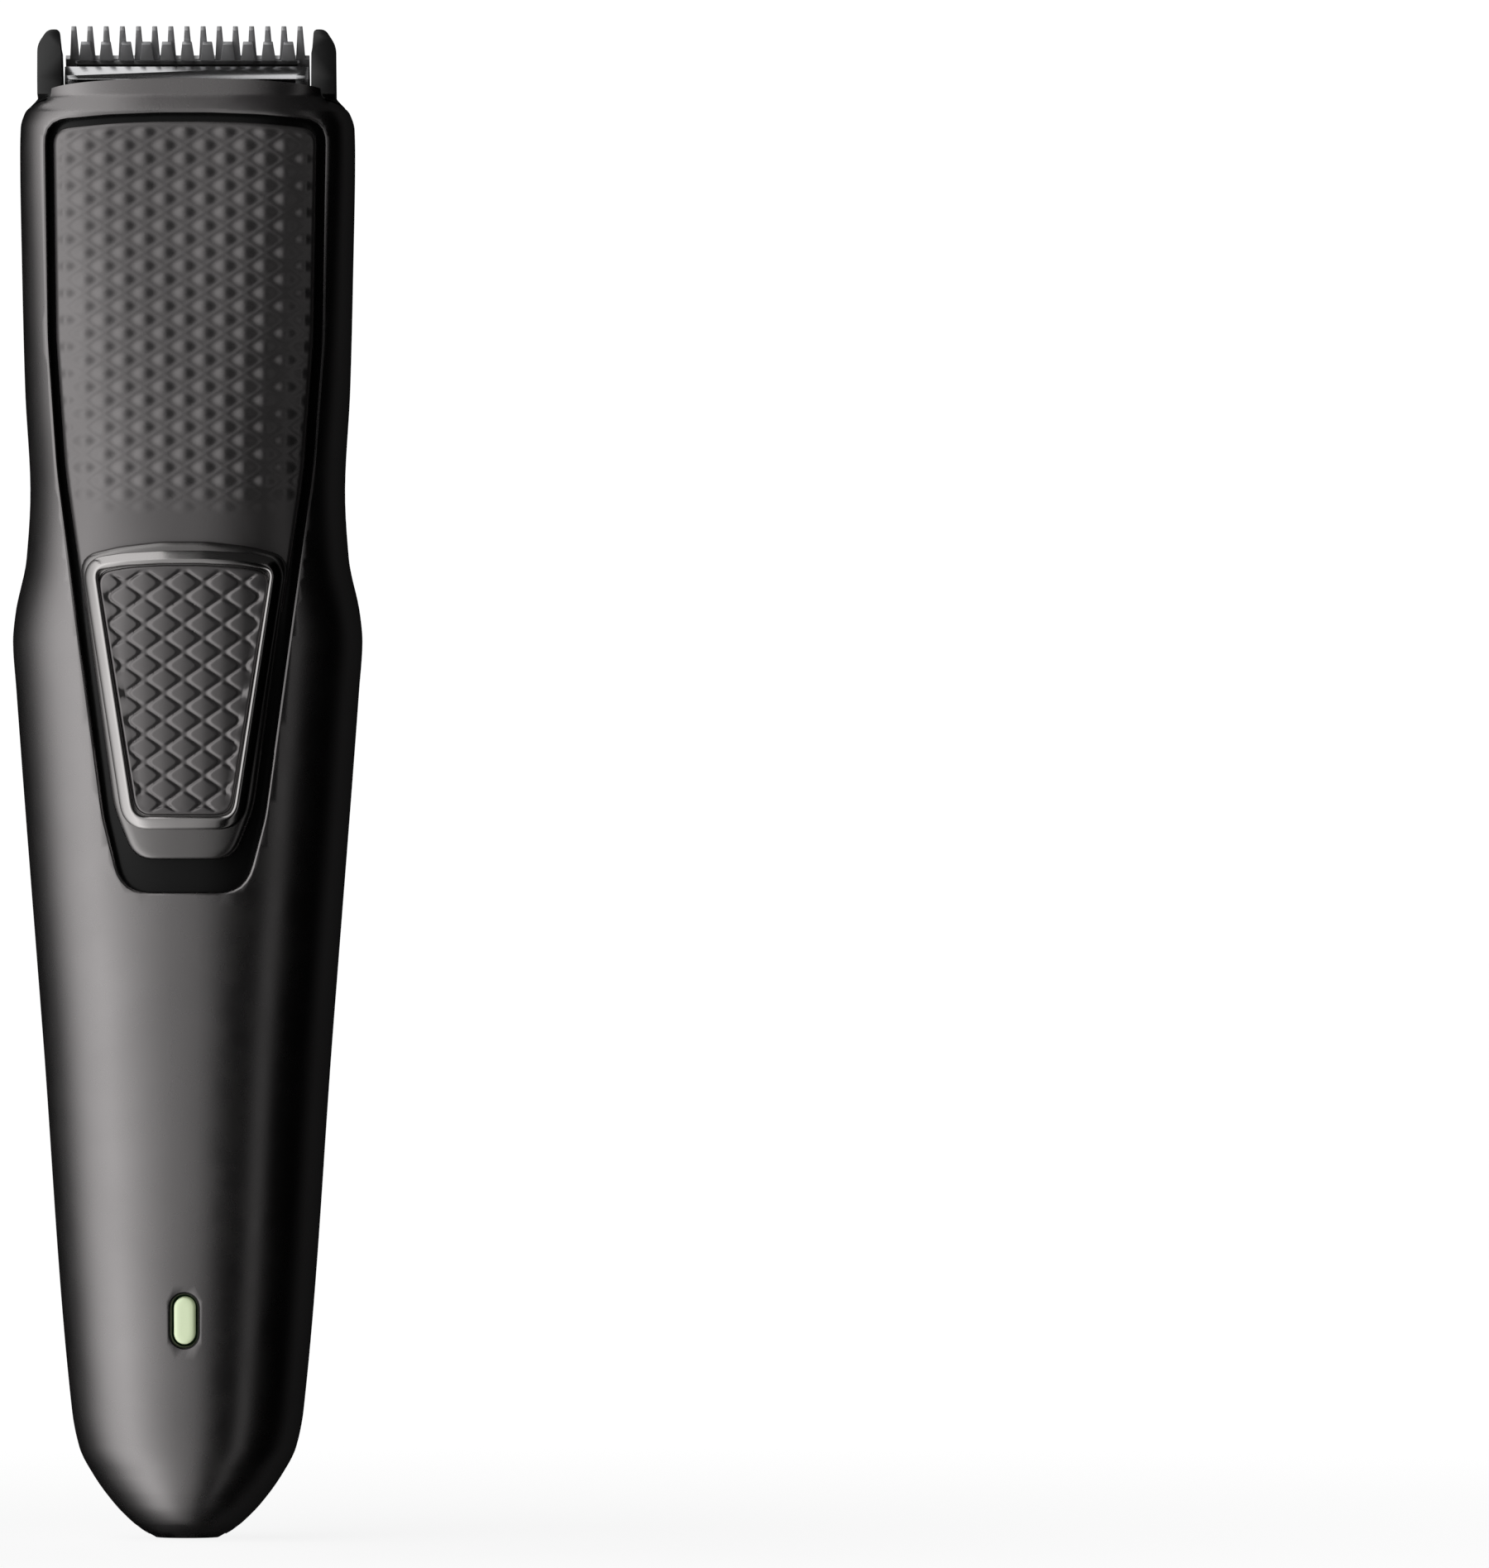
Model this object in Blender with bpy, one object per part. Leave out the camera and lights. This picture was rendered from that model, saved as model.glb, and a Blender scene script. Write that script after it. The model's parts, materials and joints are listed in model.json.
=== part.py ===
"""Cordless beard trimmer: two-shell handle, slide switch, motor drive, battery, boards and blade head.

The trimmer stands on its charging end: +Z runs up to the blade, the front faces -Y and X is its width.
Lengths in this script are in millimetres. The helpers turn them into metres.
"""

import math

import bmesh
import bpy
from mathutils import Matrix, Vector

MM = 0.001

# Driving dimensions of the handle, each as (height, value) pairs read through a smooth curve.
TOTAL_HEIGHT = 160.0
HALF_WIDTH = [
    (0, 3.5), (0.35, 4.15), (0.9, 5.0), (1.8, 6.1), (3.5, 7.75), (6.5, 9.95), (9.5, 11.5), (13.5, 12.3),
    (53.5, 15.4), (90, 18.2),
    (95.2, 18.55), (98, 18.3), (104, 17.1), (111, 16.7), (122, 17.25), (134, 17.55), (147, 17.76),
    (149.6, 17.7), (151.2, 17.25), (152.4, 16.2), (152.9, 15.8), (156, 15.8),
]
FRONT_DEPTH = [
    (0, 3.9), (0.35, 4.4), (0.9, 5.1), (1.8, 6.1), (3.5, 7.5), (6.5, 9.3), (9.5, 10.5), (13.5, 11.1),
    (35, 12.3), (62, 13.0),
    (112, 13.0), (128, 11.9), (147, 10.6), (149.6, 10.4), (151.2, 10.0), (152.4, 9.4), (152.9, 9.1),
    (156, 8.7),
]
BACK_DEPTH = [
    (0, 3.9), (0.35, 4.4), (0.9, 5.15), (1.8, 6.2), (3.5, 7.7), (6.5, 9.6), (9.5, 10.9), (13.5, 11.6),
    (35, 12.8), (60, 13.9),
    (95, 15.0), (112, 14.5), (130, 13.0), (147, 11.3), (156, 10.3),
]
ROUNDNESS = [(0, 2.2), (14, 2.3), (60, 2.4), (95, 2.5), (112, 2.7), (135, 3.2), (150, 3.6), (156, 3.6)]
RING_POINTS = 44
RING_HEIGHTS = [
    0, 0.35, 0.9, 1.8, 3.6, 6, 9, 12, 15, 26, 40, 56, 68, 76, 84, 90, 94, 97, 100, 104, 108, 114, 122, 132,
    142, 148, 149.8, 151, 151.8, 152.4, 152.9, 156,
]

WALL = 2.6  # thickness of the housings
FLOOR_THICKNESS = 2.4  # of the charging end
GAP = 0.3  # between pieces that touch
PARTING_Y = 0.5  # the plane between the front and rear housings
RECESS_DEPTH = 1.2  # of the panel's seat in the front housing
PANEL_PROUD = 0.25
SLIDER_PROUD = 1.3
RIM_PROUD = 2.0

# Outlines on the front, right half from bottom to top: (x, z, corner radius).
RECESS_OUTLINE = [
    (6.4, 68.6, 3.6), (8.4, 76.5, 14), (13.4, 113, 60), (14.4, 127, 60), (14.75, 150.1, 2.4), (8, 150.7, 20),
    (2.6, 150.9, 20),
]
PANEL_OUTLINE = [
    (10.4, 98.0, 0.6), (12.6, 113, 60), (13.6, 127, 60), (13.95, 149.3, 1.9), (7.6, 149.9, 20), (2.5, 150.1, 20),
]
SLIDER_OUTLINE = [(5.2, 72.0, 3.0), (7.4, 77.5, 12), (11.1, 104.1, 2.2), (6.8, 105.1, 14), (2.4, 105.6, 14)]
RIM_OUTLINE = [(5.9, 75.7, 2.6), (10.2, 103.3, 2.6), (6.2, 103.9, 14), (2.2, 104.1, 14)]
PAD_OUTLINE = [(5.0, 76.7, 2.0), (9.2, 102.3, 2.0), (5.6, 102.9, 14), (2.0, 103.1, 14)]

# The rear housing's lip, inside the parting line.
LIP_THICKNESS = 0.7
LIP_REACH_Y, LIP_ROOT_Y = -0.7, 2.2
LIP_Z = (5.0, 144.5)

# The top of the housings: an arched lip in front, and behind it a seat that falls towards the back.
LIP_BACK_Y = -6.5
LIP_TOP_Z = 154.7
LIP_ARCH = (0.6, 13.0)  # how far the arch has dropped, at this distance from the middle
LIP_SHOULDER = (0.9, 16.0)  # the steeper drop that rounds its ends
SEAT_FRONT_Z = 152.4
SEAT_SLOPE = -0.267
SEAT_BACK_Y = 20.0
BEYOND = 25.0  # further out than any piece reaches
ABOVE_ALL_Z = 172.0
FORM_TOP_Z = 156.0  # where the handle's form is cut off, over the lip

# The blade lies in a plane that leans forward from the back of the seat to the tips of its teeth.
TIP_Y = -3.3
LEAN = math.radians(40)
BLADE_GAP = 0.15
GUARD_THICKNESS = 0.7
GUARD_LENGTH = 12.0
GUARD_HALF_WIDTH = 12.95
GUARD_TEETH = 15
GUARD_PITCH = 1.714
TEETH_ROOT = 3.9  # along the blade, from the tips
GUARD_SCREW_X, GUARD_SCREW_DISTANCE = 8.0, 10.2
CUTTER_THICKNESS = 0.5
CUTTER_TIP = 1.4
CUTTER_LENGTH = 8.3
CUTTER_HALF_WIDTH = 11.9
CUTTER_TEETH = 11
CUTTER_PITCH = 2.15
CUTTER_STROKE = 1.0  # to each side
CHEEK_INNER_X = 13.25  # the room between the end posts, to each side
TRAY_THICKNESS = 1.6
BED_START, BED_END = 8.9, GUARD_LENGTH + 0.3  # the ledge under the guard, along the blade
SCREW_HOLE_RADIUS = 0.95
BRIDGE_HALF_WIDTH = 4.4
CARRIER_BAR = (3.5, 5.2)  # the bar across the cutter's root, along the blade
CARRIER_THICKNESS = 0.6
STRIP_HALF_WIDTH = 12.95
STRIP_THICKNESS = 0.4
SPRING_WIRE = 0.6

# The front of the right end post, as (x, z, corner radius).
POST_OUTLINE = [
    (12.4, 152.6, 0), (12.9, 155.6, 3), (13.35, 158.0, 3), (13.5, 160.05, 0.5), (14.7, 160.05, 1.3),
    (15.8, 158.4, 2.4), (15.75, 152.6, 0),
]

# Drive train, on one vertical axis through the origin.
MOTOR_RADIUS = 10.0
MOTOR_FLAT_Y = 7.2
MOTOR_BOTTOM_Z, MOTOR_TOP_Z = 118.0, 143.0
SHAFT_RADIUS = 1.0
HUB_RADIUS = 2.4
HUB_BOTTOM_Z, HUB_TOP_Z = 145.2, 149.8
BORE_RADIUS = SHAFT_RADIUS + 0.15
FLAT_WALL = 0.8  # of the motor's can
DECK_SCREW_X, DECK_SCREW_Y = 10.2, 3.0
HOOK_X = (6.1, 7.3)
HOOK_HALF_DEPTH = 1.4
PIN_OFFSET, PIN_RADIUS, PIN_TOP_Z = 1.0, 0.9, 152.6
DECK_BOTTOM_Z, DECK_TOP_Z = 146.4, 148.0

# Battery and boards.
CELL_RADIUS, CELL_Y = 7.2, 3.6
CELL_BOTTOM_Z, CELL_TOP_Z = 58.0, 107.0
TAB_HALF_WIDTH, TAB_THICKNESS = 2.2, 0.4
TAB_LEG_Y = (-4.5, -4.1)
RAIL_X = (10.3, 11.4)
RAIL_Y = (-5.3, 4.5)
SWITCH_BOARD_Y = (-6.9, -5.7)
CHARGE_BOARD_Y = (-2.8, -1.6)
BOARD_POST_X = (7.6, 9.2)
RIB_X = (3.4, 4.8)
RIB_Z = (29.0, 32.0)
INDICATOR_Z = 23.3
INDICATOR_HALF = (1.1, 2.5)
SOCKET_HALF = (3.75, 1.3)
SOCKET_HOLE_HALF = (4.05, 1.6)
SHARP_ANGLE = math.radians(30)

# The joints, each with a place on it and the pieces that it moves.
MOVING = {
    "switch_slide": ((0, -13, 90), ["switch_slider", "switch_pad", "switch_carrier", "toggle_knob"]),
    "motor_spin": (
        (0, 0, 130),
        ["motor_shaft", "armature_core", "armature_winding", "commutator", "eccentric_pin"],
    ),
    "head_release": (
        (0, 0, 152),
        [
            "head_frame", "guard_blade", "guard_screw_left", "guard_screw_right",
            "retainer_strip", "cutter_spring",
        ],
    ),
    "cutter_stroke": ((0, 0, 154), ["cutter_blade", "cutter_bridge"]),
}

COLOURS = {
    "shell_grey": ((0.12, 0.115, 0.115), 0.35, 0.25),
    "panel_charcoal": ((0.07, 0.066, 0.066), 0.55, 0.0),
    "black_plastic": ((0.015, 0.015, 0.015), 0.45, 0.0),
    "satin_rim": ((0.16, 0.155, 0.155), 0.22, 0.6),
    "blade_steel": ((0.62, 0.62, 0.63), 0.2, 1.0),
    "steel": ((0.55, 0.55, 0.56), 0.35, 1.0),
    "copper": ((0.75, 0.38, 0.2), 0.35, 1.0),
    "brass": ((0.8, 0.62, 0.3), 0.3, 1.0),
    "magnet": ((0.09, 0.09, 0.1), 0.6, 0.0),
    "white_plastic": ((0.75, 0.75, 0.72), 0.5, 0.0),
    "lens": ((0.8, 0.95, 0.65), 0.2, 0.0),
    "board_green": ((0.03, 0.2, 0.08), 0.5, 0.0),
    "rubber": ((0.02, 0.02, 0.02), 0.8, 0.0),
    "cell_wrap": ((0.05, 0.25, 0.12), 0.4, 0.0),
    "lead_red": ((0.5, 0.03, 0.03), 0.5, 0.0),
    "lead_black": ((0.02, 0.02, 0.02), 0.5, 0.0),
}


# Scene, materials and basic shapes.

def clear_scene():
    for obj in list(bpy.data.objects):
        bpy.data.objects.remove(obj, do_unlink=True)


def new_collection(name):
    made = bpy.data.collections.new(name)
    bpy.context.scene.collection.children.link(made)
    return made


def make_material(name):
    colour, roughness, metallic = COLOURS[name]
    made = bpy.data.materials.new(name)
    made.use_nodes = True
    shader = made.node_tree.nodes["Principled BSDF"]
    shader.inputs["Base Color"].default_value = (*colour, 1.0)
    shader.inputs["Roughness"].default_value = roughness
    shader.inputs["Metallic"].default_value = metallic
    return made


def mesh_object(name, mesh):
    obj = bpy.data.objects.new(name, mesh)
    bpy.context.scene.collection.objects.link(obj)
    return obj


def from_bmesh(name, bm):
    mesh = bpy.data.meshes.new(name)
    bmesh.ops.recalc_face_normals(bm, faces=bm.faces)
    bm.to_mesh(mesh)
    bm.free()
    return mesh_object(name, mesh)


def box(name, x, y, z):
    """A box from three (low, high) pairs."""
    bm = bmesh.new()
    size = Matrix.Diagonal(((x[1] - x[0]) * MM, (y[1] - y[0]) * MM, (z[1] - z[0]) * MM, 1))
    centre = Vector((sum(x) / 2, sum(y) / 2, sum(z) / 2)) * MM
    bmesh.ops.create_cube(bm, size=1.0, matrix=Matrix.Translation(centre) @ size)
    return from_bmesh(name, bm)


def cylinder(name, radius, z, x=0.0, y=0.0, segments=24, top_radius=None):
    """An upright cylinder or cone between the heights in z."""
    bm = bmesh.new()
    bmesh.ops.create_cone(
        bm,
        cap_ends=True,
        segments=segments,
        radius1=radius * MM,
        radius2=(radius if top_radius is None else top_radius) * MM,
        depth=(z[1] - z[0]) * MM,
        matrix=Matrix.Translation(Vector((x, y, sum(z) / 2)) * MM),
    )
    return from_bmesh(name, bm)


def tube(name, inner, outer, z, x=0.0, y=0.0, segments=24):
    made = cylinder(name, outer, z, x, y, segments)
    return cut(made, cylinder(name + "_hole", inner, (z[0] - 1, z[1] + 1), x, y, segments))


def filled_curve(name, outline, depth, holes=()):
    """A flat outline filled round its holes and given a depth, as a mesh in the curve's own XY plane."""
    curve = bpy.data.curves.new(name, "CURVE")
    curve.dimensions = "2D"
    curve.fill_mode = "BOTH"
    curve.extrude = depth / 2 * MM
    for loop in (outline, *holes):
        spline = curve.splines.new("POLY")
        spline.points.add(len(loop) - 1)
        for point, (u, v) in zip(spline.points, loop):
            point.co = (u * MM, v * MM, 0, 1)
        spline.use_cyclic_u = True
    return as_mesh(mesh_object(name, curve))


def as_mesh(curve_object):
    """Turns a curve object into a closed mesh object of the same name and place."""
    graph = bpy.context.evaluated_depsgraph_get()
    mesh = bpy.data.meshes.new_from_object(curve_object.evaluated_get(graph))
    bm = bmesh.new()
    bm.from_mesh(mesh)
    bmesh.ops.remove_doubles(bm, verts=bm.verts, dist=1e-6)
    bmesh.ops.recalc_face_normals(bm, faces=bm.faces)
    bm.to_mesh(mesh)
    bm.free()
    name, place = curve_object.name, curve_object.matrix_world.copy()
    bpy.data.objects.remove(curve_object, do_unlink=True)
    made = mesh_object(name, mesh)
    made.matrix_world = place
    return made


def front_plate(name, outline, y):
    """A plate whose outline is given in X and Z, between the two depths in y."""
    made = filled_curve(name, outline, y[1] - y[0])
    made.data.transform(Matrix.Translation((0, sum(y) / 2 * MM, 0)) @ Matrix.Rotation(math.pi / 2, 4, "X"))
    return made


def side_plate(name, outline, x):
    """A plate whose outline is given in Y and Z, between the two widths in x."""
    made = filled_curve(name, outline, x[1] - x[0])
    turn = Matrix(((0, 0, 1, 0), (1, 0, 0, 0), (0, 1, 0, 0), (0, 0, 0, 1)))
    made.data.transform(Matrix.Translation((sum(x) / 2 * MM, 0, 0)) @ turn)
    return made


def blade_plate(name, outline, low, high, holes=()):
    """A plate in the blade's plane. The outline is in X and the distance from the tips.

    low and high are heights over the plane, towards the skin side.
    """
    made = filled_curve(name, outline, high - low, holes)
    along, out = blade_axes()
    turn = Matrix.Identity(4)
    for row in range(3):
        turn[row][0] = (1, 0, 0)[row]
        turn[row][1] = along[row]
        turn[row][2] = out[row]
    place = Vector((0, TIP_Y, TOTAL_HEIGHT)) + out * (low + high) / 2
    made.data.transform(Matrix.Translation(place * MM) @ turn)
    return made


def wire(name, points, diameter):
    """A round wire through the points, with flat ends."""
    curve = bpy.data.curves.new(name, "CURVE")
    curve.dimensions = "3D"
    curve.bevel_depth = diameter / 2 * MM
    curve.bevel_resolution = 2
    curve.use_fill_caps = True
    spline = curve.splines.new("POLY")
    spline.points.add(len(points) - 1)
    for point, place in zip(spline.points, points):
        point.co = (*(value * MM for value in place), 1)
    return as_mesh(mesh_object(name, curve))


# Joining and cutting.

def boolean(target, tool, operation):
    """Keeps the tool as a hidden helper in the cutters collection."""
    modifier = target.modifiers.new(tool.name, "BOOLEAN")
    modifier.operation = operation
    modifier.object = tool
    tool.hide_render = True
    tool.display_type = "WIRE"
    if CUTTERS not in tool.users_collection:
        move_to(tool, CUTTERS)
    return target


def cut(target, *tools):
    for tool in tools:
        boolean(target, tool, "DIFFERENCE")
    return target


def keep_inside(target, *tools):
    for tool in tools:
        boolean(target, tool, "INTERSECT")
    return target


def join(target, *tools):
    for tool in tools:
        boolean(target, tool, "UNION")
    return target


def move_to(obj, collection):
    for old in list(obj.users_collection):
        old.objects.unlink(obj)
    collection.objects.link(obj)


def finish(obj, material):
    """Settles the piece's shape, files it with the trimmer and gives it its material."""
    graph = bpy.context.evaluated_depsgraph_get()
    shape = bpy.data.meshes.new_from_object(obj.evaluated_get(graph))
    shape.shade_smooth()
    shape.set_sharp_from_angle(angle=SHARP_ANGLE)
    obj.modifiers.clear()
    obj.data = shape
    move_to(obj, TRIMMER)
    if material not in bpy.data.materials:
        make_material(material)
    obj.data.materials.clear()
    obj.data.materials.append(bpy.data.materials[material])
    return obj


# Curves that the shapes follow.

def smooth_value(table, z):
    """Reads a table of (height, value) pairs through a curve that never overshoots them."""
    if z <= table[0][0]:
        return table[0][1]
    if z >= table[-1][0]:
        return table[-1][1]
    i = max(k for k in range(len(table) - 1) if table[k][0] <= z)
    slopes = [(b[1] - a[1]) / (b[0] - a[0]) for a, b in zip(table, table[1:])]

    def tangent(k):
        if k in (0, len(table) - 1):
            return slopes[0 if k == 0 else -1]
        before, after = slopes[k - 1], slopes[k]
        return 0.0 if before * after <= 0 else 2 * before * after / (before + after)

    (z0, v0), (z1, v1) = table[i], table[i + 1]
    span = z1 - z0
    t = (z - z0) / span
    return (
        (2 * t**3 - 3 * t**2 + 1) * v0
        + (t**3 - 2 * t**2 + t) * span * tangent(i)
        + (3 * t**2 - 2 * t**3) * v1
        + (t**3 - t**2) * span * tangent(i + 1)
    )


def rounded(corners, steps=5):
    """Replaces each (u, v, radius) corner of a closed outline by an arc of that radius."""
    outline = []
    count = len(corners)
    for i, (u, v, radius) in enumerate(corners):
        here = Vector((u, v))
        before = Vector(corners[i - 1][:2]) - here
        after = Vector(corners[(i + 1) % count][:2]) - here
        half_angle = before.angle(after) / 2
        if radius <= 0 or half_angle > math.radians(89.9):
            outline.append((u, v))
            continue
        reach = min(radius / math.tan(half_angle), 0.48 * before.length, 0.48 * after.length)
        start, end = here + before.normalized() * reach, here + after.normalized() * reach
        for k in range(steps + 1):
            t = k / steps
            point = start * (1 - t) ** 2 + here * 2 * t * (1 - t) + end * t**2
            outline.append((point.x, point.y))
    return outline


def both_halves(right_half):
    """Mirrors the right half of an outline about X = 0. Corners on the middle line aren't repeated."""
    left_half = [(-x, z, radius) for x, z, radius in reversed(right_half) if x > 0]
    return rounded(right_half + left_half)


def grown(right_half, amount):
    """The right half of an outline, grown outwards by roughly this amount."""
    lowest = right_half[0][1]
    return [(x + amount, z - amount if z == lowest else z + amount, r) for x, z, r in right_half]


def stadium(half_width, half_height, centre_z, steps=8):
    """An upright pill outline."""
    straight = half_height - half_width
    outline = []
    for side in (1, -1):
        for k in range(steps + 1):
            angle = math.pi * k / steps + (0 if side > 0 else math.pi)
            height = centre_z + side * straight + half_width * math.sin(angle)
            outline.append((half_width * math.cos(angle), height))
    return outline


def circle(u, v, radius, steps=16):
    turns = [2 * math.pi * k / steps for k in range(steps)]
    return [(u + radius * math.cos(turn), v + radius * math.sin(turn)) for turn in turns]


def blade_axes():
    """The direction from the tips down the blade, and the direction out of its skin side."""
    return Vector((0, math.sin(LEAN), -math.cos(LEAN))), Vector((0, math.cos(LEAN), math.sin(LEAN)))


def on_blade(distance, height=0.0):
    """(y, z) of a point at this distance from the tips and this height over the blade's plane."""
    along, out = blade_axes()
    place = Vector((0, TIP_Y, TOTAL_HEIGHT)) + along * distance + out * height
    return place.y, place.z


def seat_z(y, above=0.0):
    return SEAT_FRONT_Z + SEAT_SLOPE * (y - LIP_BACK_Y) + above


# The handle's outer form.

def body_ring(z, offset):
    """One level section of the handle, grown or shrunk by the offset."""
    half_width = smooth_value(HALF_WIDTH, z) + offset
    front = smooth_value(FRONT_DEPTH, z) + offset
    back = smooth_value(BACK_DEPTH, z) + offset
    power = 2 / smooth_value(ROUNDNESS, z)
    ring = []
    for k in range(RING_POINTS):
        angle = 2 * math.pi * (k + 0.5) / RING_POINTS
        c, s = math.cos(angle), math.sin(angle)
        x = half_width * math.copysign(abs(c) ** power, c)
        y = (back if s > 0 else front) * math.copysign(abs(s) ** power, s)
        ring.append(Vector((x, y, z)) * MM)
    return ring


def body_form(name, offset, z=(0.0, FORM_TOP_Z)):
    """The handle's form as a solid between two heights."""
    heights = [z[0]] + [h for h in RING_HEIGHTS if z[0] + 0.05 < h < z[1] - 0.05] + [z[1]]
    bm = bmesh.new()
    rings = [[bm.verts.new(point) for point in body_ring(height, offset)] for height in heights]
    for low, high in zip(rings, rings[1:]):
        for k in range(RING_POINTS):
            after = (k + 1) % RING_POINTS
            bm.faces.new((low[k], low[after], high[after], high[k]))
    bm.faces.new(list(reversed(rings[0])))
    bm.faces.new(rings[-1])
    return from_bmesh(name, bm)


def on_front(name, outline, top, bottom, z=(60.0, FORM_TOP_Z)):
    """A piece that follows the handle's front: the outline, between two offsets of the handle's form."""
    made = front_plate(name, both_halves(outline), (-BEYOND, 0))
    keep_inside(made, body_form(name + "_outside", top, z))
    return cut(made, body_form(name + "_inside", bottom, (z[0] - 4, z[1] + 4)))


# Housings, panel and indicator.

def lip_cutter():
    """Everything over the arched lip at the front of the housings' top."""
    arc = []
    steps = 22
    for k in range(steps + 1):
        x = 16.5 * (2 * k / steps - 1)
        arch = LIP_ARCH[0] * (x / LIP_ARCH[1]) ** 2
        shoulder = LIP_SHOULDER[0] * (x / LIP_SHOULDER[1]) ** 10
        arc.append((x, LIP_TOP_Z - arch - shoulder))
    ends = [(BEYOND, arc[-1][1]), (BEYOND, ABOVE_ALL_Z), (-BEYOND, ABOVE_ALL_Z), (-BEYOND, arc[0][1])]
    return front_plate("lip_cutter", arc + ends, (-BEYOND, 0))


def seat_cutter(name, above, front_y):
    """Everything over the seat that the blade head stands on, behind a depth."""
    outline = [
        (front_y, seat_z(front_y, above)),
        (SEAT_BACK_Y, seat_z(SEAT_BACK_Y, above)),
        (SEAT_BACK_Y, ABOVE_ALL_Z),
        (front_y, ABOVE_ALL_Z),
    ]
    return side_plate(name, outline, (-BEYOND, BEYOND))


def alignment_lip():
    """The thin skirt inside the rear housing that reaches past the parting line and closes its gap."""
    root = lip_shell("lip_root", -WALL + 0.3, (PARTING_Y + GAP, LIP_ROOT_Y))
    skirt = lip_shell("lip_skirt", -WALL - GAP, (LIP_REACH_Y, LIP_ROOT_Y))
    return root, skirt


def lip_shell(name, outer, y):
    """The part of the alignment lip between an offset of the handle's form and its inner face."""
    shell = body_form(name, outer, LIP_Z)
    cut(shell, body_form(name + "_room", -WALL - GAP - LIP_THICKNESS, (LIP_Z[0] - 1, LIP_Z[1] + 1)))
    return keep_inside(shell, box(name + "_band", (-BEYOND, BEYOND), y, (LIP_Z[0] - 2, LIP_Z[1] + 2)))


def make_housings():
    front = body_form("front_housing", 0.0)
    rear = body_form("rear_housing", 0.0)
    hollow = body_form("housing_hollow", -WALL, (FLOOR_THICKNESS, FORM_TOP_Z))
    hollow_top = body_form("housing_hollow_top", -WALL, (FORM_TOP_Z - 1, FORM_TOP_Z + 4))
    socket_hole = box(
        "socket_hole",
        (-SOCKET_HOLE_HALF[0], SOCKET_HOLE_HALF[0]),
        (-SOCKET_HOLE_HALF[1], SOCKET_HOLE_HALF[1]),
        (-2, FLOOR_THICKNESS + 4),
    )
    seat = seat_cutter("housing_seat_cutter", 0.0, LIP_BACK_Y)
    whole_height = (-5, ABOVE_ALL_Z)
    keep_front = box("front_half", (-BEYOND, BEYOND), (-BEYOND, PARTING_Y - GAP / 2), whole_height)
    keep_rear = box("rear_half", (-BEYOND, BEYOND), (PARTING_Y + GAP / 2, BEYOND), whole_height)
    recess = on_front("panel_recess", RECESS_OUTLINE, 3.0, -RECESS_DEPTH)
    carrier_slot = box("carrier_slot", (-2.6, 2.6), (-20, -5), (82.5, 97.5))
    indicator_hole = front_plate(
        "indicator_hole",
        stadium(INDICATOR_HALF[0] + GAP, INDICATOR_HALF[1] + GAP, INDICATOR_Z),
        (-20, -5),
    )
    cut(front, hollow, hollow_top, lip_cutter(), seat, socket_hole, recess, carrier_slot, indicator_hole)
    keep_inside(front, keep_front)
    cut(rear, hollow, hollow_top, seat, socket_hole)
    keep_inside(rear, keep_rear)
    join(rear, *alignment_lip())
    for side in (-1, 1):
        post_x = sorted(side * x for x in BOARD_POST_X)
        post_y = (-10.6, SWITCH_BOARD_Y[0] - GAP)
        join(front, box(f"board_post_upper_{side}", post_x, post_y, (107, 109)))
        join(front, box(f"board_post_lower_{side}", post_x, post_y, (75, 77)))
        rib_x = sorted(side * x for x in RIB_X)
        join(front, box(f"front_rib_{side}", rib_x, (-10.9, CHARGE_BOARD_Y[0] - GAP), RIB_Z))
        join(rear, box(f"rear_rib_{side}", rib_x, (CHARGE_BOARD_Y[1] + GAP, 11.2), RIB_Z))
    finish(front, "shell_grey")
    finish(rear, "shell_grey")


def make_grip_panel():
    panel = on_front("grip_panel", PANEL_OUTLINE, PANEL_PROUD, -RECESS_DEPTH + GAP)
    finish(panel, "panel_charcoal")


def make_light_guide():
    """A pill-shaped window in the front with a stem that leads light from the lamp on the board."""
    front_y = -smooth_value(FRONT_DEPTH, INDICATOR_Z)
    pill = stadium(*INDICATOR_HALF, INDICATOR_Z)
    window = front_plate("indicator_window", pill, (front_y - 0.15, front_y + 3.4))
    stem_z = (INDICATOR_Z - 1.2, INDICATOR_Z + 1.2)
    stem = box("indicator_stem", (-0.8, 0.8), (front_y + 3.0, CHARGE_BOARD_Y[0] - 1.2), stem_z)
    finish(join(window, stem), "lens")


# Slide switch.

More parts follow.
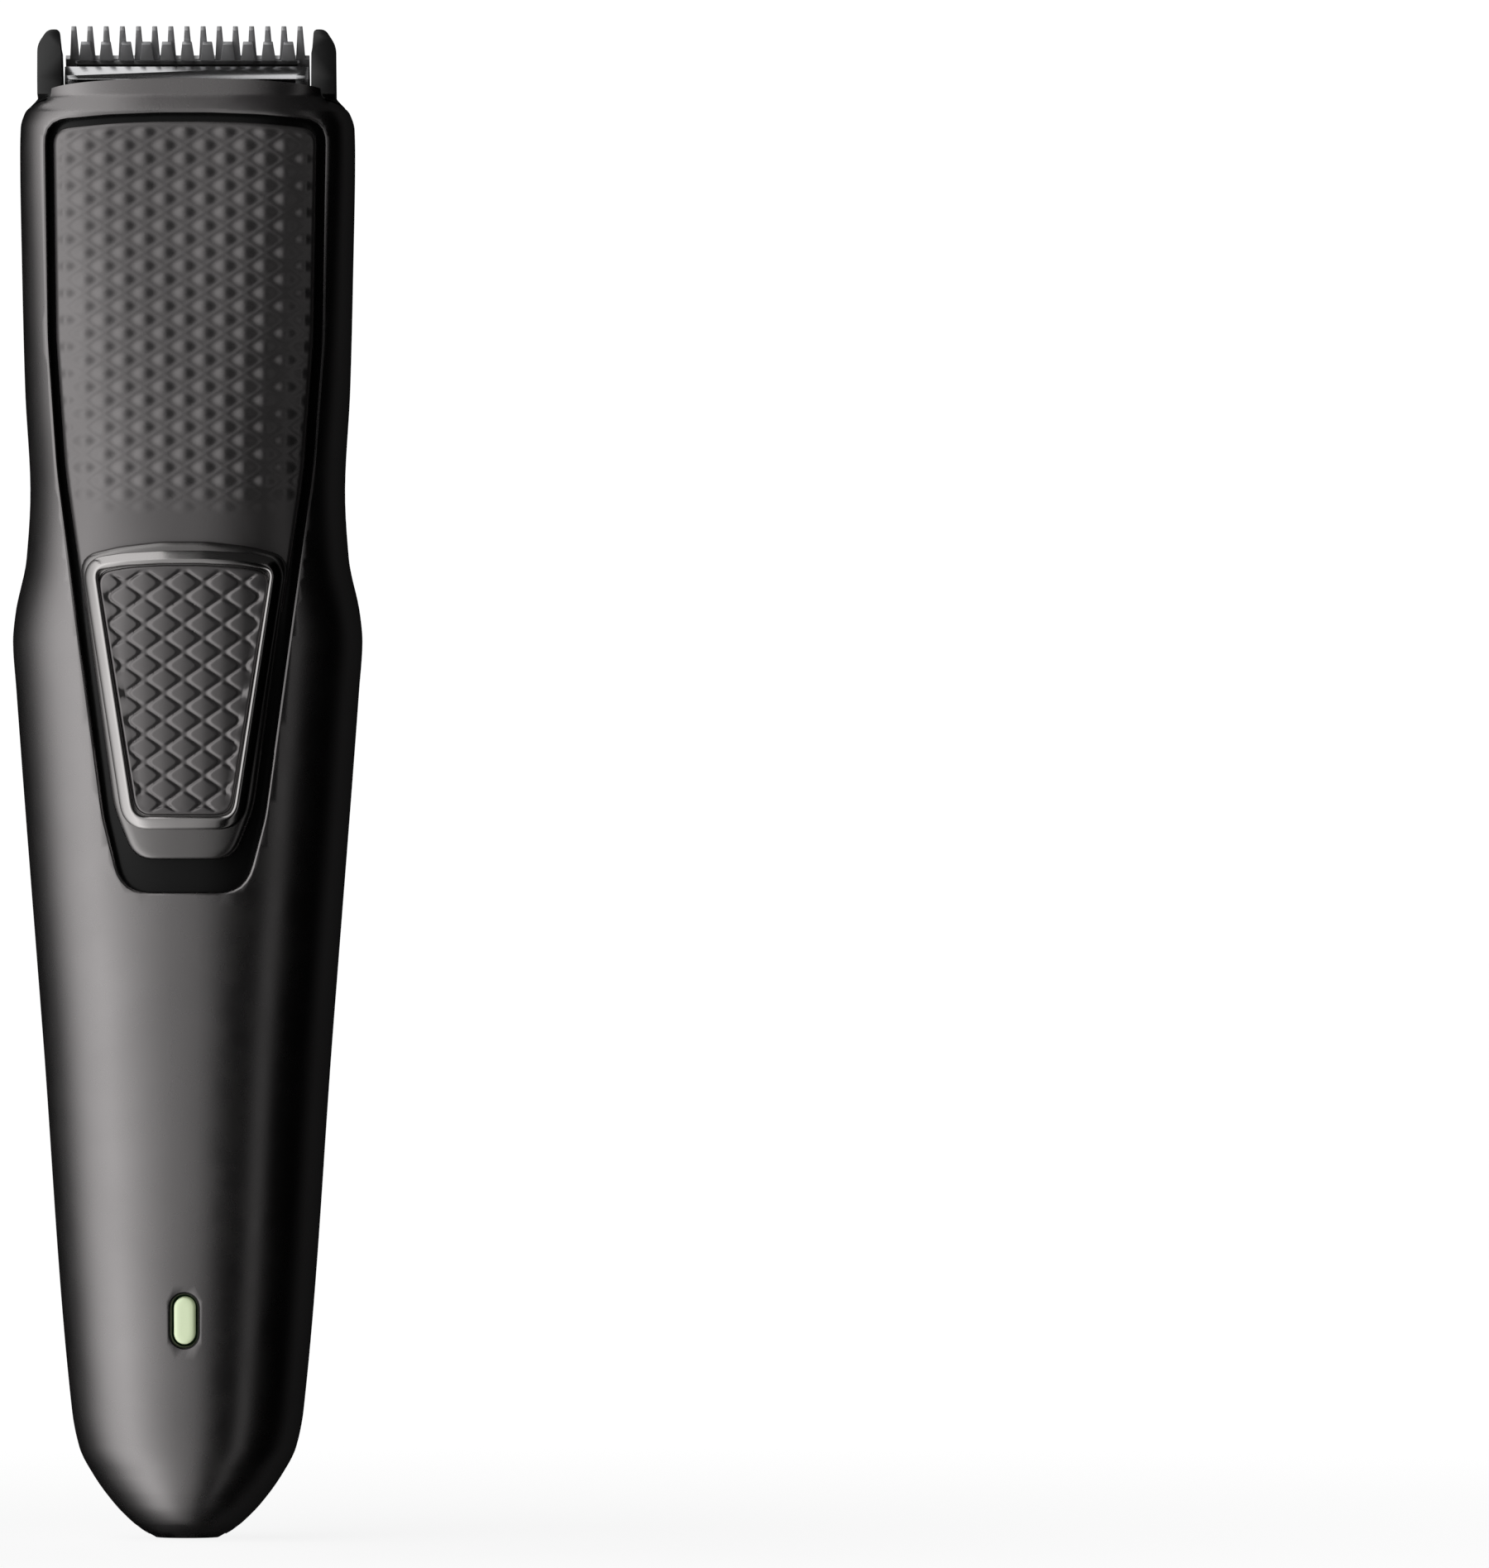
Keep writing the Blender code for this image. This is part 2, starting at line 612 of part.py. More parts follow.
def make_switch():
    slider = front_plate("switch_slider", both_halves(SLIDER_OUTLINE), (-BEYOND, 0))
    keep_inside(slider, body_form("slider_outside", SLIDER_PROUD, (60, 120)))
    rim = front_plate("slider_rim", both_halves(RIM_OUTLINE), (-BEYOND, -12))
    keep_inside(rim, body_form("rim_outside", RIM_PROUD, (60, 120)))
    join(slider, rim)
    underside = body_form("slider_inside", -RECESS_DEPTH + GAP, (56, 124))
    over_panel = body_form("slider_step", PANEL_PROUD + 0.2, (93.5, 124))
    pad_pocket = on_front("pad_pocket", grown(PAD_OUTLINE, 0.2), 5.0, 0.9, (60, 120))
    finish(cut(slider, underside, over_panel, pad_pocket), "satin_rim")
    finish(on_front("switch_pad", PAD_OUTLINE, RIM_PROUD - 0.1, 0.9 + GAP, (60, 120)), "panel_charcoal")

    stem = box("switch_carrier", (-2.0, 2.0), (-11.8, -9.3), (84, 92.5))
    foot = box("carrier_foot", (-5.0, 5.0), (-9.8, -9.0), (82, 94.5))
    knob_slot = box("carrier_knob_slot", (-1.2, 1.2), (-10.4, -8.0), (86.2, 89.8))
    finish(cut(join(stem, foot), knob_slot), "black_plastic")
    finish(box("toggle_knob", (-0.9, 0.9), (-10.1, -8.6), (86.6, 89.4)), "white_plastic")
    finish(box("toggle_switch", (-4.2, 4.2), (-8.3, -7.1), (84, 96)), "steel")


# Blade head.

def tooth_row(count, pitch, root, tip, root_half, tip_half, half_width, length):
    """A comb outline in X and the distance from the tips."""
    outline = [(-half_width, length), (-half_width, root)]
    for k in range(count):
        x = (k - (count - 1) / 2) * pitch
        outline += [(x - root_half, root), (x - tip_half, tip), (x + tip_half, tip), (x + root_half, root)]
    return outline + [(half_width, root), (half_width, length)]


def make_blades():
    guard = tooth_row(GUARD_TEETH, GUARD_PITCH, TEETH_ROOT, 0.0, 0.48, 0.26, GUARD_HALF_WIDTH, GUARD_LENGTH)
    holes = [circle(side * GUARD_SCREW_X, GUARD_SCREW_DISTANCE, SCREW_HOLE_RADIUS) for side in (-1, 1)]
    finish(blade_plate("guard_blade", guard, 0.0, GUARD_THICKNESS, holes), "blade_steel")
    cutter = tooth_row(
        CUTTER_TEETH, CUTTER_PITCH, TEETH_ROOT, CUTTER_TIP, 0.78, 0.5, CUTTER_HALF_WIDTH, CUTTER_LENGTH
    )
    finish(blade_plate("cutter_blade", cutter, -BLADE_GAP - CUTTER_THICKNESS, -BLADE_GAP), "blade_steel")


def blade_screw_place(side, height=0.0):
    y, z = on_blade(GUARD_SCREW_DISTANCE, height)
    return Vector((side * GUARD_SCREW_X, y, z))


def turned_to_blade(obj, side, height=0.0):
    """Moves a shape made round the origin over a screw hole, its +Z pointing out of the skin side."""
    turn = Matrix.Rotation(-(math.pi / 2 - LEAN), 4, "X")
    obj.data.transform(Matrix.Translation(blade_screw_place(side, height) * MM) @ turn)
    return obj


def screw_hole(side):
    hole = cylinder(f"guard_screw_hole_{side}", SCREW_HOLE_RADIUS, (-1.9, 3), segments=16)
    return turned_to_blade(hole, side)


def make_guard_screws():
    for side, word in ((-1, "left"), (1, "right")):
        head = cylinder("guard_screw_" + word, 1.6, (0.15, 0.75), segments=20, top_radius=1.3)
        shank = cylinder(f"guard_screw_shank_{word}", 0.75, (-1.6, 0.3), segments=12)
        driver_slot = box(f"guard_screw_slot_{word}", (-1.2, 1.2), (-0.2, 0.2), (0.4, 1.5))
        for shape in (head, shank, driver_slot):
            turned_to_blade(shape, side, GUARD_THICKNESS)
        finish(cut(join(head, shank), driver_slot), "steel")


def make_head_frame():
    """The plastic base of the blade head: a tray on the seat, two end posts, and the guard's bed."""
    frame = body_form("head_frame", -0.05, (146.0, FORM_TOP_Z))
    across = (-BEYOND, BEYOND)
    cut(frame, seat_cutter("tray_top", TRAY_THICKNESS, -12.0))
    under_line = [(-BEYOND, seat_z(-BEYOND, GAP)), (BEYOND, seat_z(BEYOND, GAP))]
    under_line += [(BEYOND, 140), (-BEYOND, 140)]
    cut(frame, side_plate("tray_under", under_line, across))
    cut(frame, box("behind_lip", across, (-BEYOND, LIP_BACK_Y + GAP), (140, 170)))

    bed_top, bed_end = on_blade(BED_START, -BLADE_GAP), on_blade(BED_END, -BLADE_GAP)
    bed_line = [
        bed_top,
        bed_end,
        (bed_end[0] + 0.4, seat_z(bed_end[0], TRAY_THICKNESS / 2)),
        (bed_top[0], seat_z(bed_top[0], TRAY_THICKNESS / 2)),
    ]
    join(frame, box("head_spigot", (-7.6, 7.6), (-5.6, 5.2), (DECK_TOP_Z + GAP, 151.5)))
    join(frame, side_plate("guard_bed", bed_line, (-13.6, 13.6)))

    for side in (-1, 1):
        post_front = [(side * x, z) for x, z in rounded(POST_OUTLINE)]
        post = front_plate(f"end_post_{side}", post_front, (-12, 12))
        join(frame, keep_inside(post, side_plate(f"end_post_side_{side}", post_side_outline(), across)))

    between_posts = (-CHEEK_INNER_X, CHEEK_INNER_X)
    guard_line = [on_blade(-6, -BLADE_GAP), bed_end, on_blade(BED_END, 20), on_blade(-6, 20)]
    front_y, back_y = LIP_BACK_Y - 3, bed_top[0] - 0.25
    cutter_line = [
        (front_y, seat_z(front_y, TRAY_THICKNESS)),
        (back_y, seat_z(bed_top[0], TRAY_THICKNESS)),
        (back_y, bed_top[1] + 3),
        (front_y, ABOVE_ALL_Z),
    ]
    cut(
        frame,
        side_plate("guard_room", guard_line, between_posts),
        side_plate("cutter_room", cutter_line, between_posts),
        box("drive_window", (-5.7, 5.7), (-2.6, 2.0), (140, FORM_TOP_Z)),
        cylinder("hub_window", HUB_RADIUS + 0.5, (140, 150.6)),
        screw_hole(-1),
        screw_hole(1),
    )
    for side in (-1, 1):
        hook_x = sorted(side * x for x in HOOK_X)
        hook_y = (-HOOK_HALF_DEPTH, HOOK_HALF_DEPTH)
        join(frame, box(f"snap_hook_{side}", hook_x, hook_y, (145.0, 149.5)), hook_nib(side))
    finish(frame, "black_plastic")


def post_side_outline():
    """The end posts from the side: upright in front, rounded at the tip, sloping down the blade behind."""
    foot_y, foot_z = on_blade(GUARD_LENGTH + 1.5, 0.9)
    return rounded([
        (-6.2, 155.0, 2.0),
        (-4.6, TOTAL_HEIGHT + 0.05, 0.8),
        (-2.4, TOTAL_HEIGHT + 0.05, 0.8),
        (foot_y, foot_z, 1.0),
        (foot_y + 0.6, seat_z(foot_y, TRAY_THICKNESS / 2), 0),
        (0.0, seat_z(0.0, TRAY_THICKNESS / 2), 0),
        (-6.2, seat_z(-6.2, TRAY_THICKNESS / 2), 0),
    ])


def hook_nib(side):
    """The catch at the end of a snap hook, under the deck."""
    outline = [(side * x, z) for x, z in ((6.6, 145.0), (7.2, 145.0), (7.9, 145.9), (6.6, 145.9))]
    return front_plate(f"hook_nib_{side}", outline, (-HOOK_HALF_DEPTH, HOOK_HALF_DEPTH))


def make_cutter_bridge():
    """The cutter's plastic carrier: a bar across its root, a web, and the fork for the eccentric pin."""
    top = -BLADE_GAP * 2 - CUTTER_THICKNESS
    near, far = on_blade(6.45, top), on_blade(8.0, top)
    fork = side_plate(
        "cutter_bridge",
        [(-1.8, 153.0), (far[0], 153.0), far, near, (-1.8, near[1])],
        (-BRIDGE_HALF_WIDTH, BRIDGE_HALF_WIDTH),
    )
    web = bar_on_blade("carrier_web", BRIDGE_HALF_WIDTH, (CARRIER_BAR[1] - 0.3, 6.8), top)
    bar = bar_on_blade("carrier_bar", CUTTER_HALF_WIDTH - 0.2, CARRIER_BAR, top)
    join(fork, web, bar)
    for side in (-1, 1):
        prong_x = sorted((side * 3.1, side * BRIDGE_HALF_WIDTH))
        join(fork, box(f"fork_prong_{side}", prong_x, (-1.8, 1.2), (150.2, 153.2)))
    finish(fork, "black_plastic")


def bar_on_blade(name, half_width, distances, top):
    """A bar that lies on the cutter's front, between two distances from the tips."""
    near, far = distances
    outline = [(-half_width, near), (half_width, near), (half_width, far), (-half_width, far)]
    return blade_plate(name, outline, top - CARRIER_THICKNESS, top)


def make_retainer_strip():
    """The polished strip in front of the cutter, on two feet that stand on the tray."""
    low, high = Vector((-3.95, 154.75)), Vector((-3.0, 156.15))
    along = (high - low).normalized()
    back = Vector((along.y, -along.x)) * STRIP_THICKNESS
    section = [tuple(point) for point in (low, high, high + back, low + back)]
    strip = side_plate("retainer_strip", section, (-STRIP_HALF_WIDTH, STRIP_HALF_WIDTH))
    foot_z = seat_z(low.x, TRAY_THICKNESS + GAP)
    for side in (-1, 1):
        foot_x = sorted((side * (STRIP_HALF_WIDTH - 1.4), side * STRIP_HALF_WIDTH))
        join(strip, box(f"strip_foot_{side}", foot_x, (low.x + 0.05, low.x + 0.75), (foot_z, low.y + 0.4)))
    finish(strip, "blade_steel")


def make_cutter_spring():
    """A bent wire that lies across the tray and presses both ends of the cutter on the guard."""
    y_end, z_end = on_blade(7.4, -BLADE_GAP - CUTTER_THICKNESS - SPRING_WIRE * 0.75)
    half = [
        (6.6, -4.2, 154.1),
        (7.4, -3.6, 154.1),
        (8.6, y_end - 1.8, z_end + 0.3),
        (9.2, y_end, z_end),
        (10.8, y_end, z_end),
    ]
    path = [(-x, y, z) for x, y, z in reversed(half)] + half
    finish(wire("cutter_spring", path, SPRING_WIRE), "steel")


# Motor and drive.

def flat_sided(name, radius, flat_y, z):
    made = cylinder(name, radius, z, segments=40)
    flats = box(name + "_flats", (-radius - 1, radius + 1), (-flat_y, flat_y), (z[0] - 1, z[1] + 1))
    return keep_inside(made, flats)


def make_motor():
    can = flat_sided("motor_can", MOTOR_RADIUS, MOTOR_FLAT_Y, (MOTOR_BOTTOM_Z, MOTOR_TOP_Z))
    join(can, cylinder("can_boss", 3.0, (MOTOR_TOP_Z - 0.5, MOTOR_TOP_Z + 1.4)))
    room_z = (MOTOR_BOTTOM_Z - 1, MOTOR_TOP_Z - FLAT_WALL)
    room = flat_sided("can_room", MOTOR_RADIUS - FLAT_WALL, MOTOR_FLAT_Y - FLAT_WALL, room_z)
    finish(cut(can, room, cylinder("can_bore", 2.1, (130, 150))), "steel")
    finish(tube("motor_bush", BORE_RADIUS, 1.9, (MOTOR_TOP_Z - 0.9, MOTOR_TOP_Z + 1.6)), "brass")

    cap = flat_sided("motor_end_cap", MOTOR_RADIUS - 1.1, MOTOR_FLAT_Y - 1.1, (MOTOR_BOTTOM_Z + 0.2, 121.4))
    cut(cap, cylinder("cap_bore", BORE_RADIUS, (110, 130)))
    for side in (-1, 1):
        cut(cap, box(f"brush_slot_{side}", sorted((side * 2.6, side * 4.0)), (-0.9, 0.9), (110, 130)))
    finish(cap, "white_plastic")

    for side, word in ((-1, "left"), (1, "right")):
        magnet = tube(f"motor_magnet_{word}", 6.5, 8.9, (124, 139), segments=40)
        one_side = sorted((side * 4.6, side * 12))
        keep_inside(magnet, box(f"magnet_side_{word}", one_side, (-6.1, 6.1), (120, 145)))
        finish(magnet, "magnet")
        brush = box(f"motor_brush_{word}", sorted((side * 3.0, side * 3.5)), (-0.6, 0.6), (116.2, 124.2))
        finish(brush, "copper")

    finish(cylinder("motor_shaft", SHAFT_RADIUS, (118.6, 149.2), segments=20), "steel")
    core = tube("armature_core", BORE_RADIUS, 6.0, (125, 138), segments=36)
    for k in range(3):
        slot = box(f"core_slot_{k}", (3.0, 9), (-0.9, 0.9), (120, 142))
        pocket = box(f"core_pocket_{k}", (2.6, 4.8), (-2.2, 2.2), (120, 142))
        for shape in (slot, pocket):
            shape.data.transform(Matrix.Rotation(2 * math.pi * k / 3 + 0.3, 4, "Z"))
        cut(core, slot, pocket)
    finish(core, "steel")
    finish(tube("armature_winding", BORE_RADIUS, 5.0, (138.3, 140.6)), "copper")
    finish(tube("commutator", BORE_RADIUS, 2.5, (121.9, 124.7)), "copper")

    hub = cylinder("eccentric_pin", HUB_RADIUS, (HUB_BOTTOM_Z, HUB_TOP_Z))
    join(hub, cylinder("pin_shape", PIN_RADIUS, (HUB_TOP_Z - 1, PIN_TOP_Z), x=PIN_OFFSET, segments=16))
    hub_bore = cylinder("hub_bore", BORE_RADIUS, (140, HUB_TOP_Z - 0.4), segments=20)
    finish(cut(hub, hub_bore), "white_plastic")


# Chassis, battery and boards.

def make_chassis():
    """Two rails tied by the deck, the motor seat and the two battery stops."""
    deck = body_form("chassis", -WALL - GAP, (DECK_BOTTOM_Z, DECK_TOP_Z))
    for side in (-1, 1):
        rail_x = sorted(side * x for x in RAIL_X)
        boss_z = (143.4, DECK_BOTTOM_Z + 0.5)
        join(deck, box(f"rail_{side}", rail_x, RAIL_Y, (55.2, DECK_BOTTOM_Z + 0.8)))
        join(deck, cylinder(f"deck_boss_{side}", 2.3, boss_z, side * DECK_SCREW_X, DECK_SCREW_Y, 20))
    cross = (-RAIL_X[1] + 0.2, RAIL_X[1] - 0.2)
    motor_seat = box("motor_seat", cross, (-5.0, 5.0), (115.4, 117.0))
    lead_hole = box("lead_hole", (-5, 5), (-3.2, 3.2), (113, 119))
    cut(motor_seat, lead_hole)
    join(deck, motor_seat)
    join(deck, box("upper_stop", cross, (-3.6, 4.3), (109.0, 110.4)))
    join(deck, box("lower_stop", cross, (-3.6, 4.3), (55.3, 56.7)))
    cut(deck, cylinder("seal_hole", 4.2, (140, 150)))
    for side in (-1, 1):
        window_x = sorted((side * (HOOK_X[0] - 0.4), side * (HOOK_X[1] + 1.0)))
        window_y = (-HOOK_HALF_DEPTH - 0.5, HOOK_HALF_DEPTH + 0.5)
        cut(deck, box(f"hook_window_{side}", window_x, window_y, (142, 150)))
        cut(deck, cylinder(f"screw_bore_{side}", 1.15, (140, 150), side * DECK_SCREW_X, DECK_SCREW_Y, 16))
    finish(deck, "black_plastic")
    seal_z = (DECK_BOTTOM_Z, DECK_TOP_Z - 0.1)
    finish(tube("shaft_seal", HUB_RADIUS + 0.3, 3.9, seal_z), "rubber")


def make_deck_screws():
    """Two cross-headed screws that hold the deck to its bosses."""
    for side, word in ((-1, "left"), (1, "right")):
        x, y = side * DECK_SCREW_X, DECK_SCREW_Y
        head = cylinder(f"deck_screw_{word}", 1.8, (DECK_TOP_Z + 0.1, DECK_TOP_Z + 1.1), x, y, 20)
        join(head, cylinder(f"deck_screw_shank_{word}", 0.9, (143.8, DECK_TOP_Z + 0.5), x, y, 12))
        slot_z = (DECK_TOP_Z + 0.7, 152)
        cut(head, box(f"deck_screw_slot_{word}", (x - 1.2, x + 1.2), (y - 0.22, y + 0.22), slot_z))
        cut(head, box(f"deck_screw_cross_{word}", (x - 0.22, x + 0.22), (y - 1.2, y + 1.2), slot_z))
        finish(head, "steel")


def make_battery():
    cell = cylinder("battery_cell", CELL_RADIUS, (CELL_BOTTOM_Z, CELL_TOP_Z), y=CELL_Y, segments=32)
    join(cell, cylinder("cell_cap", 2.7, (CELL_TOP_Z - 0.5, CELL_TOP_Z + 0.9), y=CELL_Y))
    finish(cell, "cell_wrap")
    top_z, bottom_z = CELL_TOP_Z + 1.1, CELL_BOTTOM_Z - 0.7
    x = (-TAB_HALF_WIDTH, TAB_HALF_WIDTH)
    front_y = TAB_LEG_Y[0]
    top = box("battery_tab_positive", x, (front_y, CELL_Y + 2), (top_z, top_z + TAB_THICKNESS))
    finish(join(top, box("tab_leg_top", x, TAB_LEG_Y, (100, top_z + TAB_THICKNESS / 2))), "steel")
    bottom = box("battery_tab_negative", x, (front_y, CELL_Y + 3), (bottom_z, bottom_z + TAB_THICKNESS))
    finish(join(bottom, box("tab_leg_bottom", x, TAB_LEG_Y, (bottom_z + TAB_THICKNESS / 2, 76))), "steel")


def make_boards():
    finish(box("switch_board", (-10.6, 10.6), SWITCH_BOARD_Y, (72, 112)), "board_green")
    finish(box("charge_board", (-5.0, 5.0), CHARGE_BOARD_Y, (5.2, 34)), "board_green")
    rear = CHARGE_BOARD_Y[1] + 0.1
    finish(box("charge_chip", (-2.5, 2.5), (rear, rear + 1.4), (13, 18)), "black_plastic")
    finish(cylinder("board_capacitor", 2.4, (22, 29), y=rear + 2.5, segments=20), "steel")
    lamp_y = (CHARGE_BOARD_Y[0] - 0.9, CHARGE_BOARD_Y[0] - 0.1)
    lamp_z = (INDICATOR_Z - 0.9, INDICATOR_Z + 0.9)
    finish(box("indicator_lamp", (-0.9, 0.9), lamp_y, lamp_z), "white_plastic")
    cable = side_plate(
        "board_cable",
        [(-4.9, 71.5), (-5.4, 71.5), (-5.4, 54), (-3.6, 42), (-3.6, 31), (-3.1, 31), (-3.1, 42), (-4.9, 54)],
        (-3.0, 3.0),
    )
    finish(cable, "white_plastic")


def make_socket():
    """The charging inlet in the bottom: a metal shell open downwards with its contact tongue."""
    x, y = SOCKET_HALF
    shell = box("socket_shell", (-x, x), (-y, y), (0.6, 6.6))
    finish(cut(shell, box("socket_room", (-x + 0.35, x - 0.35), (-y + 0.35, y - 0.35), (-2, 6.2))), "steel")
    finish(box("socket_tongue", (-2.6, 2.6), (-0.45, 0.05), (1.6, 6.0)), "black_plastic")


def make_leads():
    """The two motor leads, from the brush tails down through the motor seat to the switch board."""
    for side, colour in ((-1, "red"), (1, "black")):
        x = side * 3.25
        path = [
            (x, 0.0, 115.9), (x, -0.1, 115.0), (x, -0.6, 113.9), (x, -1.5, 112.8), (x, -2.6, 111.9),
            (x, -3.6, 111.3), (x, -4.5, 110.9), (x, -4.95, 110.0), (x, -5.0, 109.0), (x, -5.0, 107.4),
        ]
        finish(wire(f"motor_lead_{colour}", path, 1.0), f"lead_{colour}")


def hang_on_joint(name, place, pieces):
    """Parents pieces that move together to an empty on their joint."""
    joint = bpy.data.objects.new(name, None)
    joint.location = Vector(place) * MM
    TRIMMER.objects.link(joint)
    for piece in pieces:
        moving = bpy.data.objects[piece]
        moving.parent = joint
        moving.matrix_parent_inverse = Matrix.Translation(-joint.location)


clear_scene()
TRIMMER = new_collection("beard_trimmer")
CUTTERS = new_collection("cutters")
make_housings()
make_grip_panel()
make_light_guide()
make_switch()
make_blades()
make_guard_screws()
make_head_frame()
make_cutter_bridge()
make_retainer_strip()
make_cutter_spring()
make_motor()
make_chassis()
make_deck_screws()
make_battery()
make_boards()
make_socket()
make_leads()
for joint, (place, moving) in MOVING.items():
    hang_on_joint(joint, place, moving)
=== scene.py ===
import json
import math

import bpy
import numpy as np
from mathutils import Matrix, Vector

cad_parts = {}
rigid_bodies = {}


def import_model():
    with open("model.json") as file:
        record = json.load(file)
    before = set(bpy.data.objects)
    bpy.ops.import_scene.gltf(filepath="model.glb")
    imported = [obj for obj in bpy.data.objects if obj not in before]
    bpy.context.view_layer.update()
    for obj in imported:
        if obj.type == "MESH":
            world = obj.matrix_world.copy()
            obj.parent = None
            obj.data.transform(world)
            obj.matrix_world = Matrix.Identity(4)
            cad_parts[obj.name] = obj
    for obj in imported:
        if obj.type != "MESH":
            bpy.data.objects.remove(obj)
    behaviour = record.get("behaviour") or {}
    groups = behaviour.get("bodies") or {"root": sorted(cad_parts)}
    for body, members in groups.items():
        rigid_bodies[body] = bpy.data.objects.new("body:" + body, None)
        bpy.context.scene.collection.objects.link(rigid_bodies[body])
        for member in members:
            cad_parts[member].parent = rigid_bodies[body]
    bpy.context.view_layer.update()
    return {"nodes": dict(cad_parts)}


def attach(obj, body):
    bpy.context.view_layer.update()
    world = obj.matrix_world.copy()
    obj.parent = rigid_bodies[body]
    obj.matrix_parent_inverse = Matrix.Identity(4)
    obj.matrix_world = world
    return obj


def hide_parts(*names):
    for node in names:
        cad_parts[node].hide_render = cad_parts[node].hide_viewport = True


mm = 0.001
gap = 0.3  # between pieces that touch, in millimetres

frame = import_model()
bpy.ops.object.select_all(action="DESELECT")
print("frame loaded")

# Form of the handle, as (height, value) pairs in millimetres from the charging end up
handleForm = {
    "halfWidth": [
        (0, 3.5), (0.35, 4.15), (0.9, 5.0), (1.8, 6.1), (3.5, 7.75), (6.5, 9.95), (9.5, 11.5), (13.5, 12.3),
        (53.5, 15.4), (90, 18.2), (95.2, 18.55), (98, 18.3), (104, 17.1), (111, 16.7), (122, 17.25),
        (134, 17.55), (147, 17.76), (149.6, 17.7), (151.2, 17.25), (152.4, 16.2), (152.9, 15.8), (156, 15.8),
    ],
    "front": [
        (0, 3.9), (0.35, 4.4), (0.9, 5.1), (1.8, 6.1), (3.5, 7.5), (6.5, 9.3), (9.5, 10.5), (13.5, 11.1),
        (35, 12.3), (62, 13.0), (112, 13.0), (128, 11.9), (147, 10.6), (149.6, 10.4), (151.2, 10.0),
        (152.4, 9.4), (152.9, 9.1), (156, 8.7),
    ],
    "back": [
        (0, 3.9), (0.35, 4.4), (0.9, 5.15), (1.8, 6.2), (3.5, 7.7), (6.5, 9.6), (9.5, 10.9), (13.5, 11.6),
        (35, 12.8), (60, 13.9), (95, 15.0), (112, 14.5), (130, 13.0), (147, 11.3), (156, 10.3),
    ],
    "roundness": [(0, 2.2), (14, 2.3), (60, 2.4), (95, 2.5), (112, 2.7), (135, 3.2), (150, 3.6), (156, 3.6)],
    "partingY": 0.5,
    "wall": 2.6,
    "floor": 2.4,
}


def smoothValue(table, z):  # reads the pairs through a curve that never overshoots them
    if z <= table[0][0]:
        return table[0][1]
    if z >= table[-1][0]:
        return table[-1][1]
    i = max(k for k in range(len(table) - 1) if table[k][0] <= z)
    slopes = [(b[1] - a[1]) / (b[0] - a[0]) for a, b in zip(table, table[1:])]

    def tangent(k):
        if k in (0, len(table) - 1):
            return slopes[0 if k == 0 else -1]
        before, after = slopes[k - 1], slopes[k]
        return 0.0 if before * after <= 0 else 2 * before * after / (before + after)

    (z0, v0), (z1, v1) = table[i], table[i + 1]
    span = z1 - z0
    t = (z - z0) / span
    return (
        (2 * t**3 - 3 * t**2 + 1) * v0
        + (t**3 - 2 * t**2 + t) * span * tangent(i)
        + (3 * t**2 - 2 * t**3) * v1
        + (t**3 - t**2) * span * tangent(i + 1)
    )


def frontY(x, z, offset=0.0):  # the handle's front surface, moved out by the offset
    halfWidth = smoothValue(handleForm["halfWidth"], z) + offset
    depth = smoothValue(handleForm["front"], z) + offset
    power = smoothValue(handleForm["roundness"], z)
    across = min(abs(x) / halfWidth, 0.999)
    return -depth * (1 - across**power) ** (1 / power)


def handleSection(z, turn, offset=0.0):  # a point of the level section at this turn about the handle
    halfWidth = smoothValue(handleForm["halfWidth"], z) + offset
    depth = smoothValue(handleForm["back" if math.sin(turn) > 0 else "front"], z) + offset
    power = 2 / smoothValue(handleForm["roundness"], z)
    c, s = math.cos(turn), math.sin(turn)
    return halfWidth * math.copysign(abs(c) ** power, c), depth * math.copysign(abs(s) ** power, s)


def levels(low, high, step, dense=()):
    heights = [low, high]
    count = max(1, round((high - low) / step))
    heights += [low + (high - low) * k / count for k in range(count + 1)]
    for start, end, fine in dense:
        count = max(1, round((end - start) / fine))
        heights += [start + (end - start) * k / count for k in range(count + 1)]
    kept = []
    for z in sorted(h for h in heights if low <= h <= high):
        if not kept or z - kept[-1] > 0.04:
            kept.append(z)
    kept[-1] = high
    return kept


# Shaping helpers
def editMesh(piece, *steps):  # runs edit-mode steps on the whole piece
    bpy.ops.object.select_all(action="DESELECT")
    bpy.context.view_layer.objects.active = piece
    piece.select_set(True)
    bpy.ops.object.mode_set(mode="EDIT")
    bpy.ops.mesh.select_all(action="SELECT")
    for step in steps:
        step()
    bpy.ops.object.mode_set(mode="OBJECT")
    piece.select_set(False)


def ringPiece(name, rings, closeEnds=True, joined=False):  # a skin over rings of points, from first to last
    rows, columns = len(rings), len(rings[0])
    bpy.ops.mesh.primitive_grid_add(x_subdivisions=columns, y_subdivisions=rows - 1 + joined, size=1)
    piece = bpy.context.object
    piece.name = name
    wanted = rings + rings[:1] if joined else rings
    points = np.array([ring + ring[:1] for ring in wanted], dtype=float).reshape(-1, 3) * mm
    piece.data.vertices.foreach_set("co", points.ravel())
    steps = [lambda: bpy.ops.mesh.remove_doubles(threshold=1e-6)]
    if closeEnds and not joined:
        steps.append(lambda: bpy.ops.mesh.fill_holes(sides=0))
    steps.append(lambda: bpy.ops.mesh.normals_make_consistent(inside=False))
    editMesh(piece, *steps)
    return piece


def applyAll(piece):
    bpy.ops.object.select_all(action="DESELECT")
    bpy.context.view_layer.objects.active = piece
    piece.select_set(True)
    for modifier in list(piece.modifiers):
        bpy.ops.object.modifier_apply(modifier=modifier.name)
    piece.select_set(False)
    return piece


